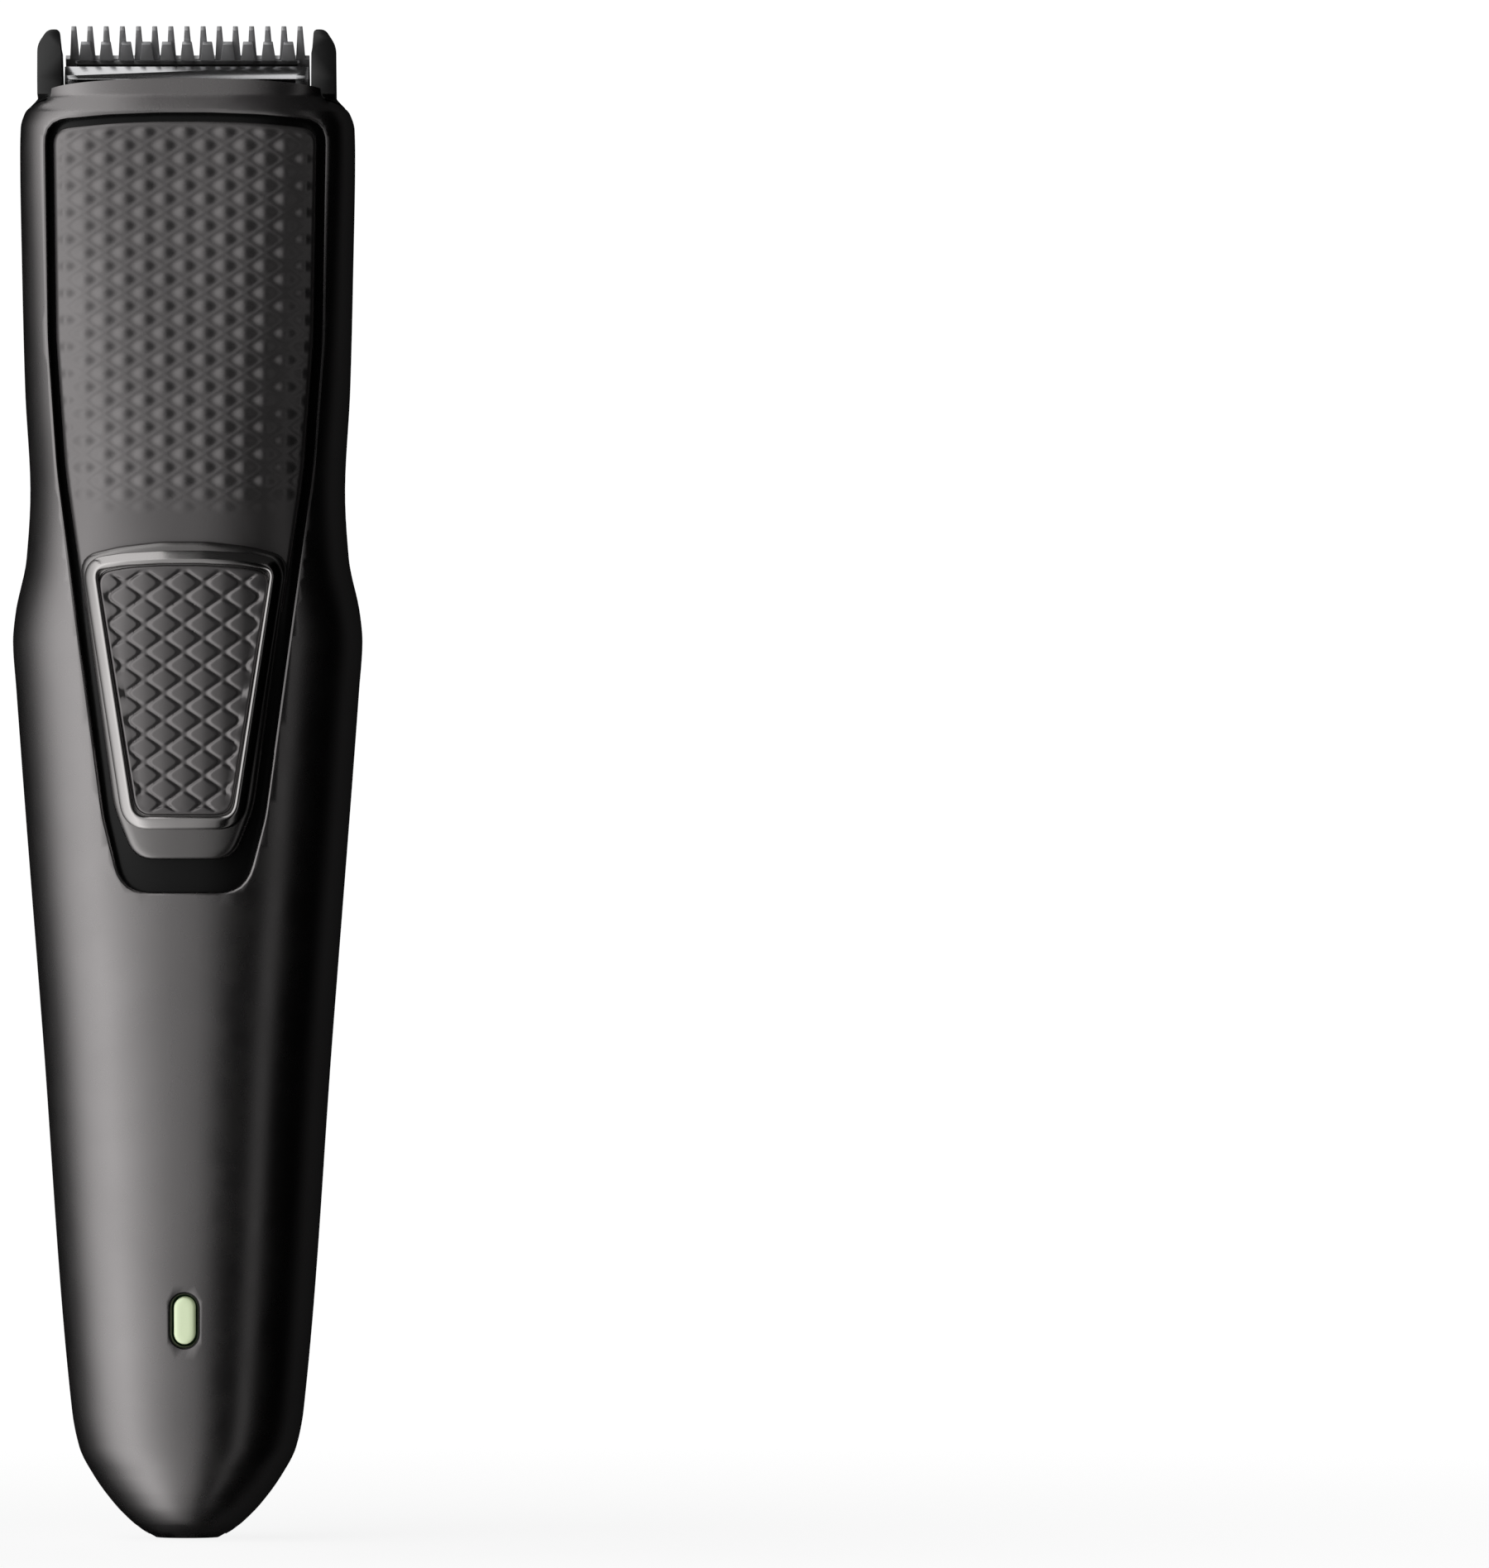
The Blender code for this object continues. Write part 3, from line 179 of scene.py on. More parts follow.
def cutAway(piece, *tools, operation="DIFFERENCE"):
    for tool in tools:
        if any(piece.data.materials) and not any(tool.data.materials):
            tool.data.materials.append(piece.data.materials[0])
        modifier = piece.modifiers.new("cut", "BOOLEAN")
        modifier.operation = operation
        modifier.solver = "EXACT"
        modifier.material_mode = "TRANSFER"  # cut faces take the tool's material
        modifier.object = tool
        applyAll(piece)
        bpy.data.objects.remove(tool, do_unlink=True)
    return piece


def softenEdges(piece, width, segments=2, angle=30):
    modifier = piece.modifiers.new("edges", "BEVEL")
    modifier.width = width * mm
    modifier.segments = segments
    modifier.limit_method = "ANGLE"
    modifier.angle_limit = math.radians(angle)
    modifier.use_clamp_overlap = True
    return applyAll(piece)


def smoothShade(piece, angle=35):
    bpy.ops.object.select_all(action="DESELECT")
    bpy.context.view_layer.objects.active = piece
    piece.select_set(True)
    bpy.ops.object.shade_smooth_by_angle(angle=math.radians(angle))
    piece.select_set(False)
    return piece


def block(name, x, y, z):  # a block between low and high in each direction
    centre = [sum(pair) / 2 * mm for pair in (x, y, z)]
    bpy.ops.mesh.primitive_cube_add(size=1, location=centre)
    piece = bpy.context.object
    piece.name = name
    piece.scale = [(pair[1] - pair[0]) * mm for pair in (x, y, z)]
    bpy.ops.object.transform_apply(location=True, rotation=True, scale=True)
    piece.select_set(False)
    return piece


def prism(name, outline, low, high, place):
    rings = [[place(u, v, depth) for u, v in outline] for depth in (low, high)]
    return ringPiece(name, rings)


def frontPrism(name, outline, y):  # outline in X and Z
    return prism(name, outline, y[0], y[1], lambda u, v, d: (u, d, v))


def sidePrism(name, outline, x):  # outline in Y and Z
    return prism(name, outline, x[0], x[1], lambda u, v, d: (d, u, v))


def dress(piece, material, body, angle=35):
    if not any(piece.data.materials):
        piece.data.materials.clear()
        piece.data.materials.append(material)
    smoothShade(piece, angle)
    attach(piece, body)
    return piece


# Outlines on the front
def rounded(corners, steps=8):  # (u, v, radius) corners of a closed outline
    outline = []
    count = len(corners)
    for i, (u, v, radius) in enumerate(corners):
        here = Vector((u, v))
        before = Vector(corners[i - 1][:2]) - here
        after = Vector(corners[(i + 1) % count][:2]) - here
        halfAngle = before.angle(after) / 2
        if radius <= 0 or halfAngle > math.radians(89.9):
            outline.append((u, v))
            continue
        reach = min(radius / math.tan(halfAngle), 0.48 * before.length, 0.48 * after.length)
        start, end = here + before.normalized() * reach, here + after.normalized() * reach
        for k in range(steps + 1):
            t = k / steps
            point = start * (1 - t) ** 2 + here * 2 * t * (1 - t) + end * t**2
            outline.append((point.x, point.y))
    return outline


def bothHalves(rightHalf):
    return rounded(rightHalf + [(-x, z, radius) for x, z, radius in reversed(rightHalf) if x > 0])


def evenly(outline, step):  # the closed outline with points about this far apart
    points = [Vector(p) for p in outline] + [Vector(outline[0])]
    lengths = [0.0]
    for a, b in zip(points, points[1:]):
        lengths.append(lengths[-1] + (b - a).length)
    count = max(12, round(lengths[-1] / step))
    spaced, i = [], 0
    for k in range(count):
        target = lengths[-1] * k / count
        while lengths[i + 1] < target:
            i += 1
        t = (target - lengths[i]) / max(lengths[i + 1] - lengths[i], 1e-9)
        spaced.append(points[i].lerp(points[i + 1], t))
    return spaced


def grownBy(outline, amount):  # moves each point outwards along the outline's own normal
    count = len(outline)
    area = sum(a.x * b.y - b.x * a.y for a, b in zip(outline, outline[1:] + outline[:1]))
    sign = 1 if area > 0 else -1
    grown = []
    for i, point in enumerate(outline):
        along = (outline[(i + 1) % count] - outline[i - 1]).normalized()
        grown.append(point + Vector((along.y, -along.x)) * amount * sign)
    return grown


def frontPlate(name, outline, layers, step=0.8, capSteps=10):
    # layers are (growth, offset) pairs; an offset given as a string is a flat depth
    base = evenly(outline, step)
    centre = sum(base, Vector((0, 0))) / len(base)

    def at(point, offset):
        if isinstance(offset, str):
            return (point.x, float(offset), point.y)
        return (point.x, frontY(point.x, point.y, offset), point.y)

    def inward(layer, part):
        growth, offset = layer
        loop = grownBy(base, growth)
        return [at(centre.lerp(point, part), offset) for point in loop]

    rings = [inward(layers[0], k / capSteps) for k in range(capSteps)]
    rings += [[at(point, offset) for point in grownBy(base, growth)] for growth, offset in layers]
    rings += [inward(layers[-1], k / capSteps) for k in reversed(range(capSteps))]
    return ringPiece(name, rings, closeEnds=False)


# Right halves, from the bottom to the top, as (x, z, corner radius)
outlines = {
    "recess": [
        (6.4, 68.6, 3.6), (8.4, 76.5, 14), (13.4, 113, 60), (14.4, 127, 60), (14.75, 150.1, 2.4),
        (8, 150.7, 20), (2.6, 150.9, 20),
    ],
    "panel": [
        (10.4, 98.0, 0.6), (12.6, 113, 60), (13.6, 127, 60), (13.95, 149.3, 1.9), (7.6, 149.9, 20),
        (2.5, 150.1, 20),
    ],
    "slider": [(5.2, 72.0, 3.0), (7.4, 77.5, 12), (11.1, 104.1, 2.2), (6.8, 105.1, 14), (2.4, 105.6, 14)],
    "rim": [(5.9, 75.7, 2.6), (10.2, 103.3, 2.6), (6.2, 103.9, 14), (2.2, 104.1, 14)],
    "pad": [(5.0, 76.7, 2.0), (9.2, 102.3, 2.0), (5.6, 102.9, 14), (2.0, 103.1, 14)],
}


# Materials
def newMaterial(name, look):
    made = bpy.data.materials.new(name)
    made.use_nodes = True
    nodes, links = made.node_tree.nodes, made.node_tree.links
    shader = nodes["Principled BSDF"]
    shader.inputs["Metallic"].default_value = look.get("metallic", 0.0)
    shader.inputs["Coat Weight"].default_value = look.get("coat", 0.0)
    shader.inputs["Coat Roughness"].default_value = 0.1
    shader.inputs["Specular IOR Level"].default_value = look.get("specular", 0.5)
    coordinates = nodes.new("ShaderNodeTexCoord")
    stretch = nodes.new("ShaderNodeMapping")
    stretch.inputs["Scale"].default_value = look.get("stretch", (1, 1, 1))
    links.new(coordinates.outputs["Object"], stretch.inputs["Vector"])

    def noise(scale, detail=3.0):
        node = nodes.new("ShaderNodeTexNoise")
        node.inputs["Scale"].default_value = scale
        node.inputs["Detail"].default_value = detail
        links.new(stretch.outputs["Vector"], node.inputs["Vector"])
        return node

    blotch = noise(look.get("blotchScale", 90))
    tone = nodes.new("ShaderNodeMix")
    tone.data_type = "RGBA"
    colour = look["colour"]
    vary = look.get("vary", 0.12)
    tone.inputs["A"].default_value = (*[c * (1 - vary) for c in colour], 1)
    tone.inputs["B"].default_value = (*[min(c * (1 + vary), 1) for c in colour], 1)
    links.new(blotch.outputs["Fac"], tone.inputs["Factor"])
    links.new(tone.outputs["Result"], shader.inputs["Base Color"])

    spread = nodes.new("ShaderNodeMapRange")
    rough, roughVary = look["roughness"], look.get("roughVary", 0.05)
    spread.inputs["To Min"].default_value = max(rough - roughVary, 0.02)
    spread.inputs["To Max"].default_value = rough + roughVary
    links.new(noise(look.get("smearScale", 260)).outputs["Fac"], spread.inputs["Value"])
    links.new(spread.outputs["Result"], shader.inputs["Roughness"])

    bump = nodes.new("ShaderNodeBump")
    bump.inputs["Strength"].default_value = look.get("grainStrength", 0.25)
    bump.inputs["Distance"].default_value = look.get("grainDepth", 0.02) * mm
    links.new(noise(look.get("grainScale", 5200), 2.0).outputs["Fac"], bump.inputs["Height"])
    links.new(bump.outputs["Normal"], shader.inputs["Normal"])
    if "glow" in look:
        shader.inputs["Emission Color"].default_value = (*look["glow"], 1)
        shader.inputs["Emission Strength"].default_value = look["glowStrength"]
    return made


finishes = {
    "shellGrey": {
        "colour": (0.235, 0.225, 0.225), "roughness": 0.27, "metallic": 1.0, "grainStrength": 0.15,
    },
    "panelCharcoal": {
        "colour": (0.17, 0.162, 0.162), "roughness": 0.33, "metallic": 0.9, "grainStrength": 0.2,
    },
    "blackPlastic": {"colour": (0.01, 0.01, 0.01), "roughness": 0.3, "grainStrength": 0.2},
    # near-black painted shade for the recess groove and the window's cut walls, standing in for the shade in
    # these deep gaps
    "recessPaintedShade": {
        "colour": (0.006, 0.006, 0.006), "roughness": 0.22, "specular": 0.2, "grainStrength": 0.1,
    },
    "sliderGrey": {"colour": (0.22, 0.212, 0.21), "roughness": 0.26, "metallic": 1.0, "grainStrength": 0.1},
    "rimPolish": {
        "colour": (0.42, 0.405, 0.4), "roughness": 0.16, "metallic": 1.0, "roughVary": 0.02,
        "grainStrength": 0.05,
    },
    "bladeSteel": {
        "colour": (0.6, 0.6, 0.61), "roughness": 0.16, "metallic": 1.0, "roughVary": 0.06, "vary": 0.05,
        "stretch": (0.05, 1, 1), "grainScale": 9000, "grainStrength": 0.25, "grainDepth": 0.01,
    },
    "cutterSteel": {
        "colour": (0.52, 0.52, 0.53), "roughness": 0.42, "metallic": 0.65, "vary": 0.05,
        "stretch": (1, 0.05, 0.05), "grainScale": 7000, "grainDepth": 0.01,
    },
    "steel": {"colour": (0.5, 0.5, 0.51), "roughness": 0.34, "metallic": 1.0, "stretch": (1, 1, 0.1)},
    "copper": {"colour": (0.72, 0.34, 0.18), "roughness": 0.35, "metallic": 1.0, "grainScale": 2200},
    "bronze": {"colour": (0.6, 0.42, 0.2), "roughness": 0.4, "metallic": 1.0, "vary": 0.25},
    "ferrite": {"colour": (0.06, 0.06, 0.065), "roughness": 0.62, "grainStrength": 0.5},
    "naturalWhite": {"colour": (0.72, 0.72, 0.69), "roughness": 0.45, "vary": 0.04},
    "boardGreen": {"colour": (0.02, 0.16, 0.06), "roughness": 0.42, "blotchScale": 900, "vary": 0.3},
    "softBlack": {"colour": (0.02, 0.02, 0.02), "roughness": 0.75},
    "cellWrap": {"colour": (0.03, 0.2, 0.09), "roughness": 0.3, "coat": 0.3},
    "leadRed": {"colour": (0.45, 0.02, 0.02), "roughness": 0.45},
    "leadBlack": {"colour": (0.015, 0.015, 0.015), "roughness": 0.45},
    "litLens": {
        "colour": (0.78, 0.87, 0.62), "roughness": 0.25, "coat": 0.2, "vary": 0.05,
        "glow": (0.66, 0.8, 0.46), "glowStrength": 0.26,
    },
}
materials = {name: newMaterial(name, look) for name, look in finishes.items()}
print("materials made")

# Camera, light and floor
cameraSetup = {"lens": 400, "sensor": 36, "away": 1.852, "right": 0.05916, "up": 0.080}
bpy.ops.object.camera_add(
    location=(cameraSetup["right"], -cameraSetup["away"], cameraSetup["up"]), rotation=(math.pi / 2, 0, 0)
)
camera = bpy.context.object
camera.data.lens = cameraSetup["lens"]
camera.data.sensor_fit = "VERTICAL"
camera.data.sensor_height = cameraSetup["sensor"]
camera.data.clip_end = 20
bpy.context.scene.camera = camera

# A round light tent: its brightness goes with the direction, in degrees from the front towards the right
tent = {
    "radius": 1.1, "low": -1.0, "high": 1.1, "sides": 96,
    "glow": [
        (-180, 0.0), (-160, 0.0), (-135, 0.03), (-112, 0.15), (-98, 0.42), (-84, 0.85), (-70, 1.3),
        (-46, 1.65), (-33, 1.3), (-20, 0.9), (-8, 0.6), (3, 0.38), (10, 0.12), (14, 0.0), (36, 0.0),
        (40, 0.2), (48, 0.2), (54, 0.0), (95, 0.0), (120, 0.03), (180, 0.0),
    ],
    "dimWithin": 0.15, "fullBeyond": 0.55, "middleShare": 0.3,  # the bottom's middle is dimmer
    "topSize": (0.75, 2.0), "topAt": (-0.455, -0.3, 1.05), "topGlow": 1.1,
    "roomGlow": 0.02, "skyGlow": 1.05,
}
floorSetup = {
    "size": 12, "below": 0.0002, "tone": 0.16,
    "near": 0.88, "far": 1.02, "fadeFrom": 0.05, "fadeTo": 0.45,  # paler away from the trimmer
}

tentHeight = tent["high"] - tent["low"]
bpy.ops.mesh.primitive_cylinder_add(
    vertices=tent["sides"], radius=tent["radius"], depth=tentHeight, end_fill_type="NGON",
    location=(0, 0, tent["low"] + tentHeight / 2),
)
tentWall = bpy.context.object
bpy.ops.object.mode_set(mode="EDIT")
bpy.ops.mesh.select_all(action="DESELECT")
bpy.ops.object.mode_set(mode="OBJECT")
for face in tentWall.data.polygons:
    face.select = face.normal.z > 0.5  # the tent is open at the top
bpy.ops.object.mode_set(mode="EDIT")
bpy.ops.mesh.delete(type="FACE")
bpy.ops.object.mode_set(mode="OBJECT")
tentWall.name = "lightTent"
tentWall.visible_camera = False
tentLook = bpy.data.materials.new("lightTent")
tentLook.use_nodes = True
tentNodes, tentLinks = tentLook.node_tree.nodes, tentLook.node_tree.links
tentNodes.remove(tentNodes["Principled BSDF"])
tentPlace = tentNodes.new("ShaderNodeTexCoord")
tentTurn = tentNodes.new("ShaderNodeMapping")
tentTurn.inputs["Rotation"].default_value = (0, 0, math.radians(90))
tentAround = tentNodes.new("ShaderNodeTexGradient")
tentAround.gradient_type = "RADIAL"
tentCurve = tentNodes.new("ShaderNodeFloatCurve")
mostGlow = max(value for _, value in tent["glow"])
glowCurve = tentCurve.mapping.curves[0]
for _ in tent["glow"][2:]:
    glowCurve.points.new(0.5, 0.5)
for point, (degrees, value) in zip(glowCurve.points, tent["glow"]):
    point.location = (degrees / 360 + 0.5, value / mostGlow)
    point.handle_type = "VECTOR"
tentCurve.mapping.update()
tentPower = tentNodes.new("ShaderNodeMath")
tentPower.operation = "MULTIPLY"
tentPower.inputs[1].default_value = mostGlow
tentFlat = tentNodes.new("ShaderNodeVectorMath")
tentFlat.operation = "MULTIPLY"
tentFlat.inputs[1].default_value = (1, 1, 0)
tentAway = tentNodes.new("ShaderNodeVectorMath")
tentAway.operation = "LENGTH"
tentFade = tentNodes.new("ShaderNodeMapRange")
tentFade.inputs["From Min"].default_value = tent["dimWithin"]
tentFade.inputs["From Max"].default_value = tent["fullBeyond"]
tentFade.inputs["To Min"].default_value = tent["middleShare"]
tentDim = tentNodes.new("ShaderNodeMath")
tentDim.operation = "MULTIPLY"
tentGlow = tentNodes.new("ShaderNodeEmission")
tentLinks.new(tentPlace.outputs["Object"], tentTurn.inputs["Vector"])
tentLinks.new(tentTurn.outputs["Vector"], tentAround.inputs["Vector"])
tentLinks.new(tentAround.outputs["Fac"], tentCurve.inputs["Value"])
tentLinks.new(tentCurve.outputs["Value"], tentPower.inputs[0])
tentLinks.new(tentPlace.outputs["Object"], tentFlat.inputs[0])
tentLinks.new(tentFlat.outputs["Vector"], tentAway.inputs[0])
tentLinks.new(tentAway.outputs["Value"], tentFade.inputs["Value"])
tentLinks.new(tentPower.outputs["Value"], tentDim.inputs[0])
tentLinks.new(tentFade.outputs["Result"], tentDim.inputs[1])
tentLinks.new(tentDim.outputs["Value"], tentGlow.inputs["Strength"])
tentLinks.new(tentGlow.outputs["Emission"], tentNodes["Material Output"].inputs["Surface"])
tentWall.data.materials.append(tentLook)

bpy.ops.object.light_add(type="AREA", location=tent["topAt"])
topLight = bpy.context.object
topLight.name = "topSoftbox"
topLight.visible_camera = False
topLight.data.shape = "RECTANGLE"
topLight.data.size, topLight.data.size_y = tent["topSize"]
topLight.data.energy = tent["topGlow"] * math.pi * tent["topSize"][0] * tent["topSize"][1]

world = bpy.data.worlds.new("paleRoom")
bpy.context.scene.world = world
world.use_nodes = True
skyNodes, skyLinks = world.node_tree.nodes, world.node_tree.links
lighting = skyNodes["Background"]
lighting.inputs["Color"].default_value = (1, 1, 1, 1)
lighting.inputs["Strength"].default_value = tent["roomGlow"]
seen = skyNodes.new("ShaderNodeBackground")
seen.inputs["Color"].default_value = (1, 1, 1, 1)
seen.inputs["Strength"].default_value = tent["skyGlow"]
rays = skyNodes.new("ShaderNodeLightPath")
chooseSky = skyNodes.new("ShaderNodeMixShader")
skyLinks.new(rays.outputs["Is Camera Ray"], chooseSky.inputs["Fac"])
skyLinks.new(lighting.outputs["Background"], chooseSky.inputs[1])
skyLinks.new(seen.outputs["Background"], chooseSky.inputs[2])
skyLinks.new(chooseSky.outputs["Shader"], skyNodes["World Output"].inputs["Surface"])

bpy.ops.mesh.primitive_plane_add(size=floorSetup["size"], location=(0, 0, -floorSetup["below"]))
floor = bpy.context.object
floor.name = "paleFloor"
floorLook = bpy.data.materials.new("paleFloor")
floorLook.use_nodes = True
floorNodes, floorLinks = floorLook.node_tree.nodes, floorLook.node_tree.links
floorShade = floorNodes["Principled BSDF"]
floorShade.inputs["Base Color"].default_value = (floorSetup["tone"],) * 3 + (1,)
floorShade.inputs["Roughness"].default_value = 1.0
floorShade.inputs["Specular IOR Level"].default_value = 0.0
floorGlow = floorNodes.new("ShaderNodeEmission")
floorPlace = floorNodes.new("ShaderNodeTexCoord")
floorAway = floorNodes.new("ShaderNodeVectorMath")
floorAway.operation = "LENGTH"
floorFade = floorNodes.new("ShaderNodeMapRange")
floorFade.inputs["From Min"].default_value = floorSetup["fadeFrom"]
floorFade.inputs["From Max"].default_value = floorSetup["fadeTo"]
floorFade.inputs["To Min"].default_value = floorSetup["near"]
floorFade.inputs["To Max"].default_value = floorSetup["far"]
floorLinks.new(floorPlace.outputs["Object"], floorAway.inputs[0])
floorLinks.new(floorAway.outputs["Value"], floorFade.inputs["Value"])
floorLinks.new(floorFade.outputs["Result"], floorGlow.inputs["Strength"])
floorSum = floorNodes.new("ShaderNodeAddShader")
floorRays = floorNodes.new("ShaderNodeLightPath")
floorChoice = floorNodes.new("ShaderNodeMixShader")
floorLinks.new(floorShade.outputs["BSDF"], floorSum.inputs[0])
floorLinks.new(floorGlow.outputs["Emission"], floorSum.inputs[1])
floorClear = floorNodes.new("ShaderNodeBsdfTransparent")
floorLinks.new(floorRays.outputs["Is Camera Ray"], floorChoice.inputs["Fac"])
floorLinks.new(floorClear.outputs["BSDF"], floorChoice.inputs[1])
floorLinks.new(floorSum.outputs["Shader"], floorChoice.inputs[2])
floorLinks.new(floorChoice.outputs["Shader"], floorNodes["Material Output"].inputs["Surface"])
floor.data.materials.append(floorLook)

bpy.ops.object.select_all(action="DESELECT")
for part in (tentWall, topLight, camera):  # the lights turn with the camera
    part.select_set(True)
bpy.context.view_layer.objects.active = camera
bpy.ops.object.parent_set(type="OBJECT", keep_transform=True)
bpy.context.scene.view_settings.view_transform = "Standard"
bpy.ops.object.select_all(action="DESELECT")
print("camera, light and floor set")

# Handle
housings = {
    "aroundPoints": 60, "levelStep": 1.6, "top": 156, "seamRound": 0.22,
    "seatFrontZ": 152.4, "seatSlope": -0.267, "seatBackY": 20, "lipBackY": -6.5,  # the head's sloping seat
    "lipTopZ": 154.7, "lipArch": 0.6, "lipArchHalf": 13, "lipShoulder": 0.9, "lipShoulderHalf": 16,
    "toolSide": 22, "toolTop": 175,  # how far the cutting blocks reach past the handle
}


def halfSection(z, front):  # a level section of one half, its seam edges rounded
    side = -1 if front else 1
    seam = handleForm["partingY"] + side * gap / 2
    roundIn = housings["seamRound"]
    width = smoothValue(handleForm["halfWidth"], z)
    count = housings["aroundPoints"]
    points = []
    for k in range(count + 1):
        turn = math.pi * (k / count) * side
        x, y = handleSection(z, turn)
        if (y - seam) * side > roundIn:
            points.append((x, y, z))
    start = [
        (width - roundIn, seam, z),
        (width - 0.3 * roundIn, seam + side * 0.3 * roundIn, z),
        (width, seam + side * roundIn, z),
    ]
    end = [(-x, y, z) for x, y, z in reversed(start)]
    bottom = [(width - roundIn - (2 * width - 2 * roundIn) * k / 8, seam, z) for k in range(7, 0, -1)]
    return start, points, end, bottom


def housingSolid(name, front):
    dense = [(0, 14, 0.7), (88, 104, 0.9), (147, 153.2, 0.35)]
    heights = levels(0, housings["top"], housings["levelStep"], dense)
    sections = [halfSection(z, front) for z in heights]
    most = max(len(points) for _, points, _, _ in sections)
    rings = []
    for start, points, end, bottom in sections:  # every ring gets the same count of points
        last = len(points) - 1
        even = [points[round(k * last / (most - 1))] for k in range(most)]
        rings.append(start + even + end + bottom)
    return ringPiece(name, rings)


def hollowSolid():
    count = 48
    heights = [handleForm["floor"], 4, 6, 9, 12, 20, 35, 60, 80, 95, 104, 112, 130, 148, 153, 160]
    rings = []
    for z in heights:
        turns = [2 * math.pi * (k + 0.5) / count for k in range(count)]
        rings.append([(*handleSection(z, turn, -handleForm["wall"]), z) for turn in turns])
    return ringPiece("hollow", rings)


def seatTool():  # takes the handle away above the head's seat
    frontZ, lipY, backY = housings["seatFrontZ"], housings["lipBackY"], housings["seatBackY"]
    backZ = frontZ + housings["seatSlope"] * (backY - lipY)
    side, top = housings["toolSide"], housings["toolTop"]
    return sidePrism("seatTool", [(lipY, frontZ), (backY, backZ), (backY, top), (lipY, top)], (-side, side))


def lipTool():  # takes the front away above the arched lip
    arc = []
    for k in range(45):
        x = 17 * (k / 22 - 1)
        arch = housings["lipArch"] * (x / housings["lipArchHalf"]) ** 2
        shoulder = housings["lipShoulder"] * (x / housings["lipShoulderHalf"]) ** 10
        arc.append((x, housings["lipTopZ"] - arch - shoulder))
    side, top, endZ = housings["toolSide"], housings["toolTop"], arc[0][1]
    outline = [(-side, endZ)] + arc + [(side, endZ), (side, top), (-side, top)]
    return frontPrism("lipTool", outline, (-side, 0))


def socketTool():
    return block("socketTool", (-4.05, 4.05), (-1.6, 1.6), (-2, 6))


def stadium(halfWidth, halfHeight, centreZ, steps=10):
    straight = halfHeight - halfWidth
    outline = []
    for side in (1, -1):
        for k in range(steps + 1):
            turn = math.pi * k / steps + (0 if side > 0 else math.pi)
            z = centreZ + side * straight + halfWidth * math.sin(turn)
            outline.append((halfWidth * math.cos(turn), z))
    return outline


window = {"z": 23.3, "halfWidth": 1.1, "halfHeight": 2.5}

frontShell = housingSolid("frontShell", True)
recessTool = frontPlate(
    "recessTool",
    bothHalves(outlines["recess"]),
    [(0.0, -1.2), (0.0, -0.42), (0.05, -0.24), (0.16, -0.1), (0.34, -0.01), (0.7, 0.12), (0.9, "-30")],
)
windowOutline = stadium(window["halfWidth"] + gap, window["halfHeight"] + gap, window["z"])
windowTool = frontPlate(
    "windowTool",
    windowOutline,
    [(0.0, "-6"), (0.0, -0.35), (0.05, -0.17), (0.15, -0.06), (0.32, 0.02), (0.7, 0.3), (0.8, "-30")],
    step=0.3,
    capSteps=3,
)
frontShell.data.materials.append(materials["shellGrey"])
# the recess groove's walls and floor are painted near black as shade
recessTool.data.materials.append(materials["recessPaintedShade"])
recessTool.data.materials.append(materials["shellGrey"])
for face in recessTool.data.polygons:
    x, y, z = face.center / mm
    if y < frontY(x, z, -0.34):  # the rounded edge keeps the shell's finish, the groove below it takes the near-black painted shade
        face.material_index = 1
# the window's cut walls take the same near-black painted shade
windowTool.data.materials.append(materials["recessPaintedShade"])
cutAway(frontShell, hollowSolid(), seatTool(), lipTool(), recessTool, windowTool, socketTool())
cutAway(frontShell, block("carrierTool", (-2.6, 2.6), (-20, -5), (82.5, 97.5)))
dress(frontShell, materials["shellGrey"], "handle")
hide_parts("front_housing")

rearShell = housingSolid("rearShell", False)
rearShell.data.materials.append(materials["shellGrey"])
cutAway(rearShell, hollowSolid(), seatTool(), socketTool())

# The lip inside the rear shell, which closes the seam
seamLip = {"thickness": 0.7, "reach": -0.7, "root": 2.2, "low": 5, "high": 144.5}


def formSolid(name, offset, low, high):
    turns = [2 * math.pi * (k + 0.5) / 48 for k in range(48)]
    heights = levels(low, high, 8, [(low, 14, 1.5)])
    return ringPiece(name, [[(*handleSection(z, turn, offset), z) for turn in turns] for z in heights])


for outer, start in ((0.3, handleForm["partingY"] + gap), (-gap, seamLip["reach"])):
    lip = formSolid("lip", outer - handleForm["wall"], seamLip["low"], seamLip["high"])
    lip.data.materials.append(materials["shellGrey"])
    inside = -handleForm["wall"] - gap - seamLip["thickness"]
    cutAway(lip, formSolid("room", inside, seamLip["low"] - 1, seamLip["high"] + 1))
    cutAway(lip, block("band", (-25, 25), (start, seamLip["root"]), (0, 150)), operation="INTERSECT")
    cutAway(rearShell, lip, operation="UNION")
dress(rearShell, materials["shellGrey"], "handle")
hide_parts("rear_housing")
print("shells made", len(frontShell.data.polygons), len(rearShell.data.polygons))

# Grip panel
grip = {
    "proud": 0.25, "under": -0.9, "edgeRound": 0.45, "across": 170, "rowStep": 0.16,
    "cellWidth": 4.26, "cellHeight": 2.84, "cellDepth": 0.22, "netHeight": 0.07, "cellsFrom": 112.0,
    "fadeLow": 108.2, "fadeHigh": 111.8,
}


def scales(x, z, cellWidth, cellHeight):  # one in the middle of each diamond, nought on the lines between
    u, v = x / cellWidth, z / cellHeight
    a, b = u + v, u - v
    a, b = a - np.round(a), b - np.round(b)
    return np.abs(np.cos(math.pi * a) * np.cos(math.pi * b))


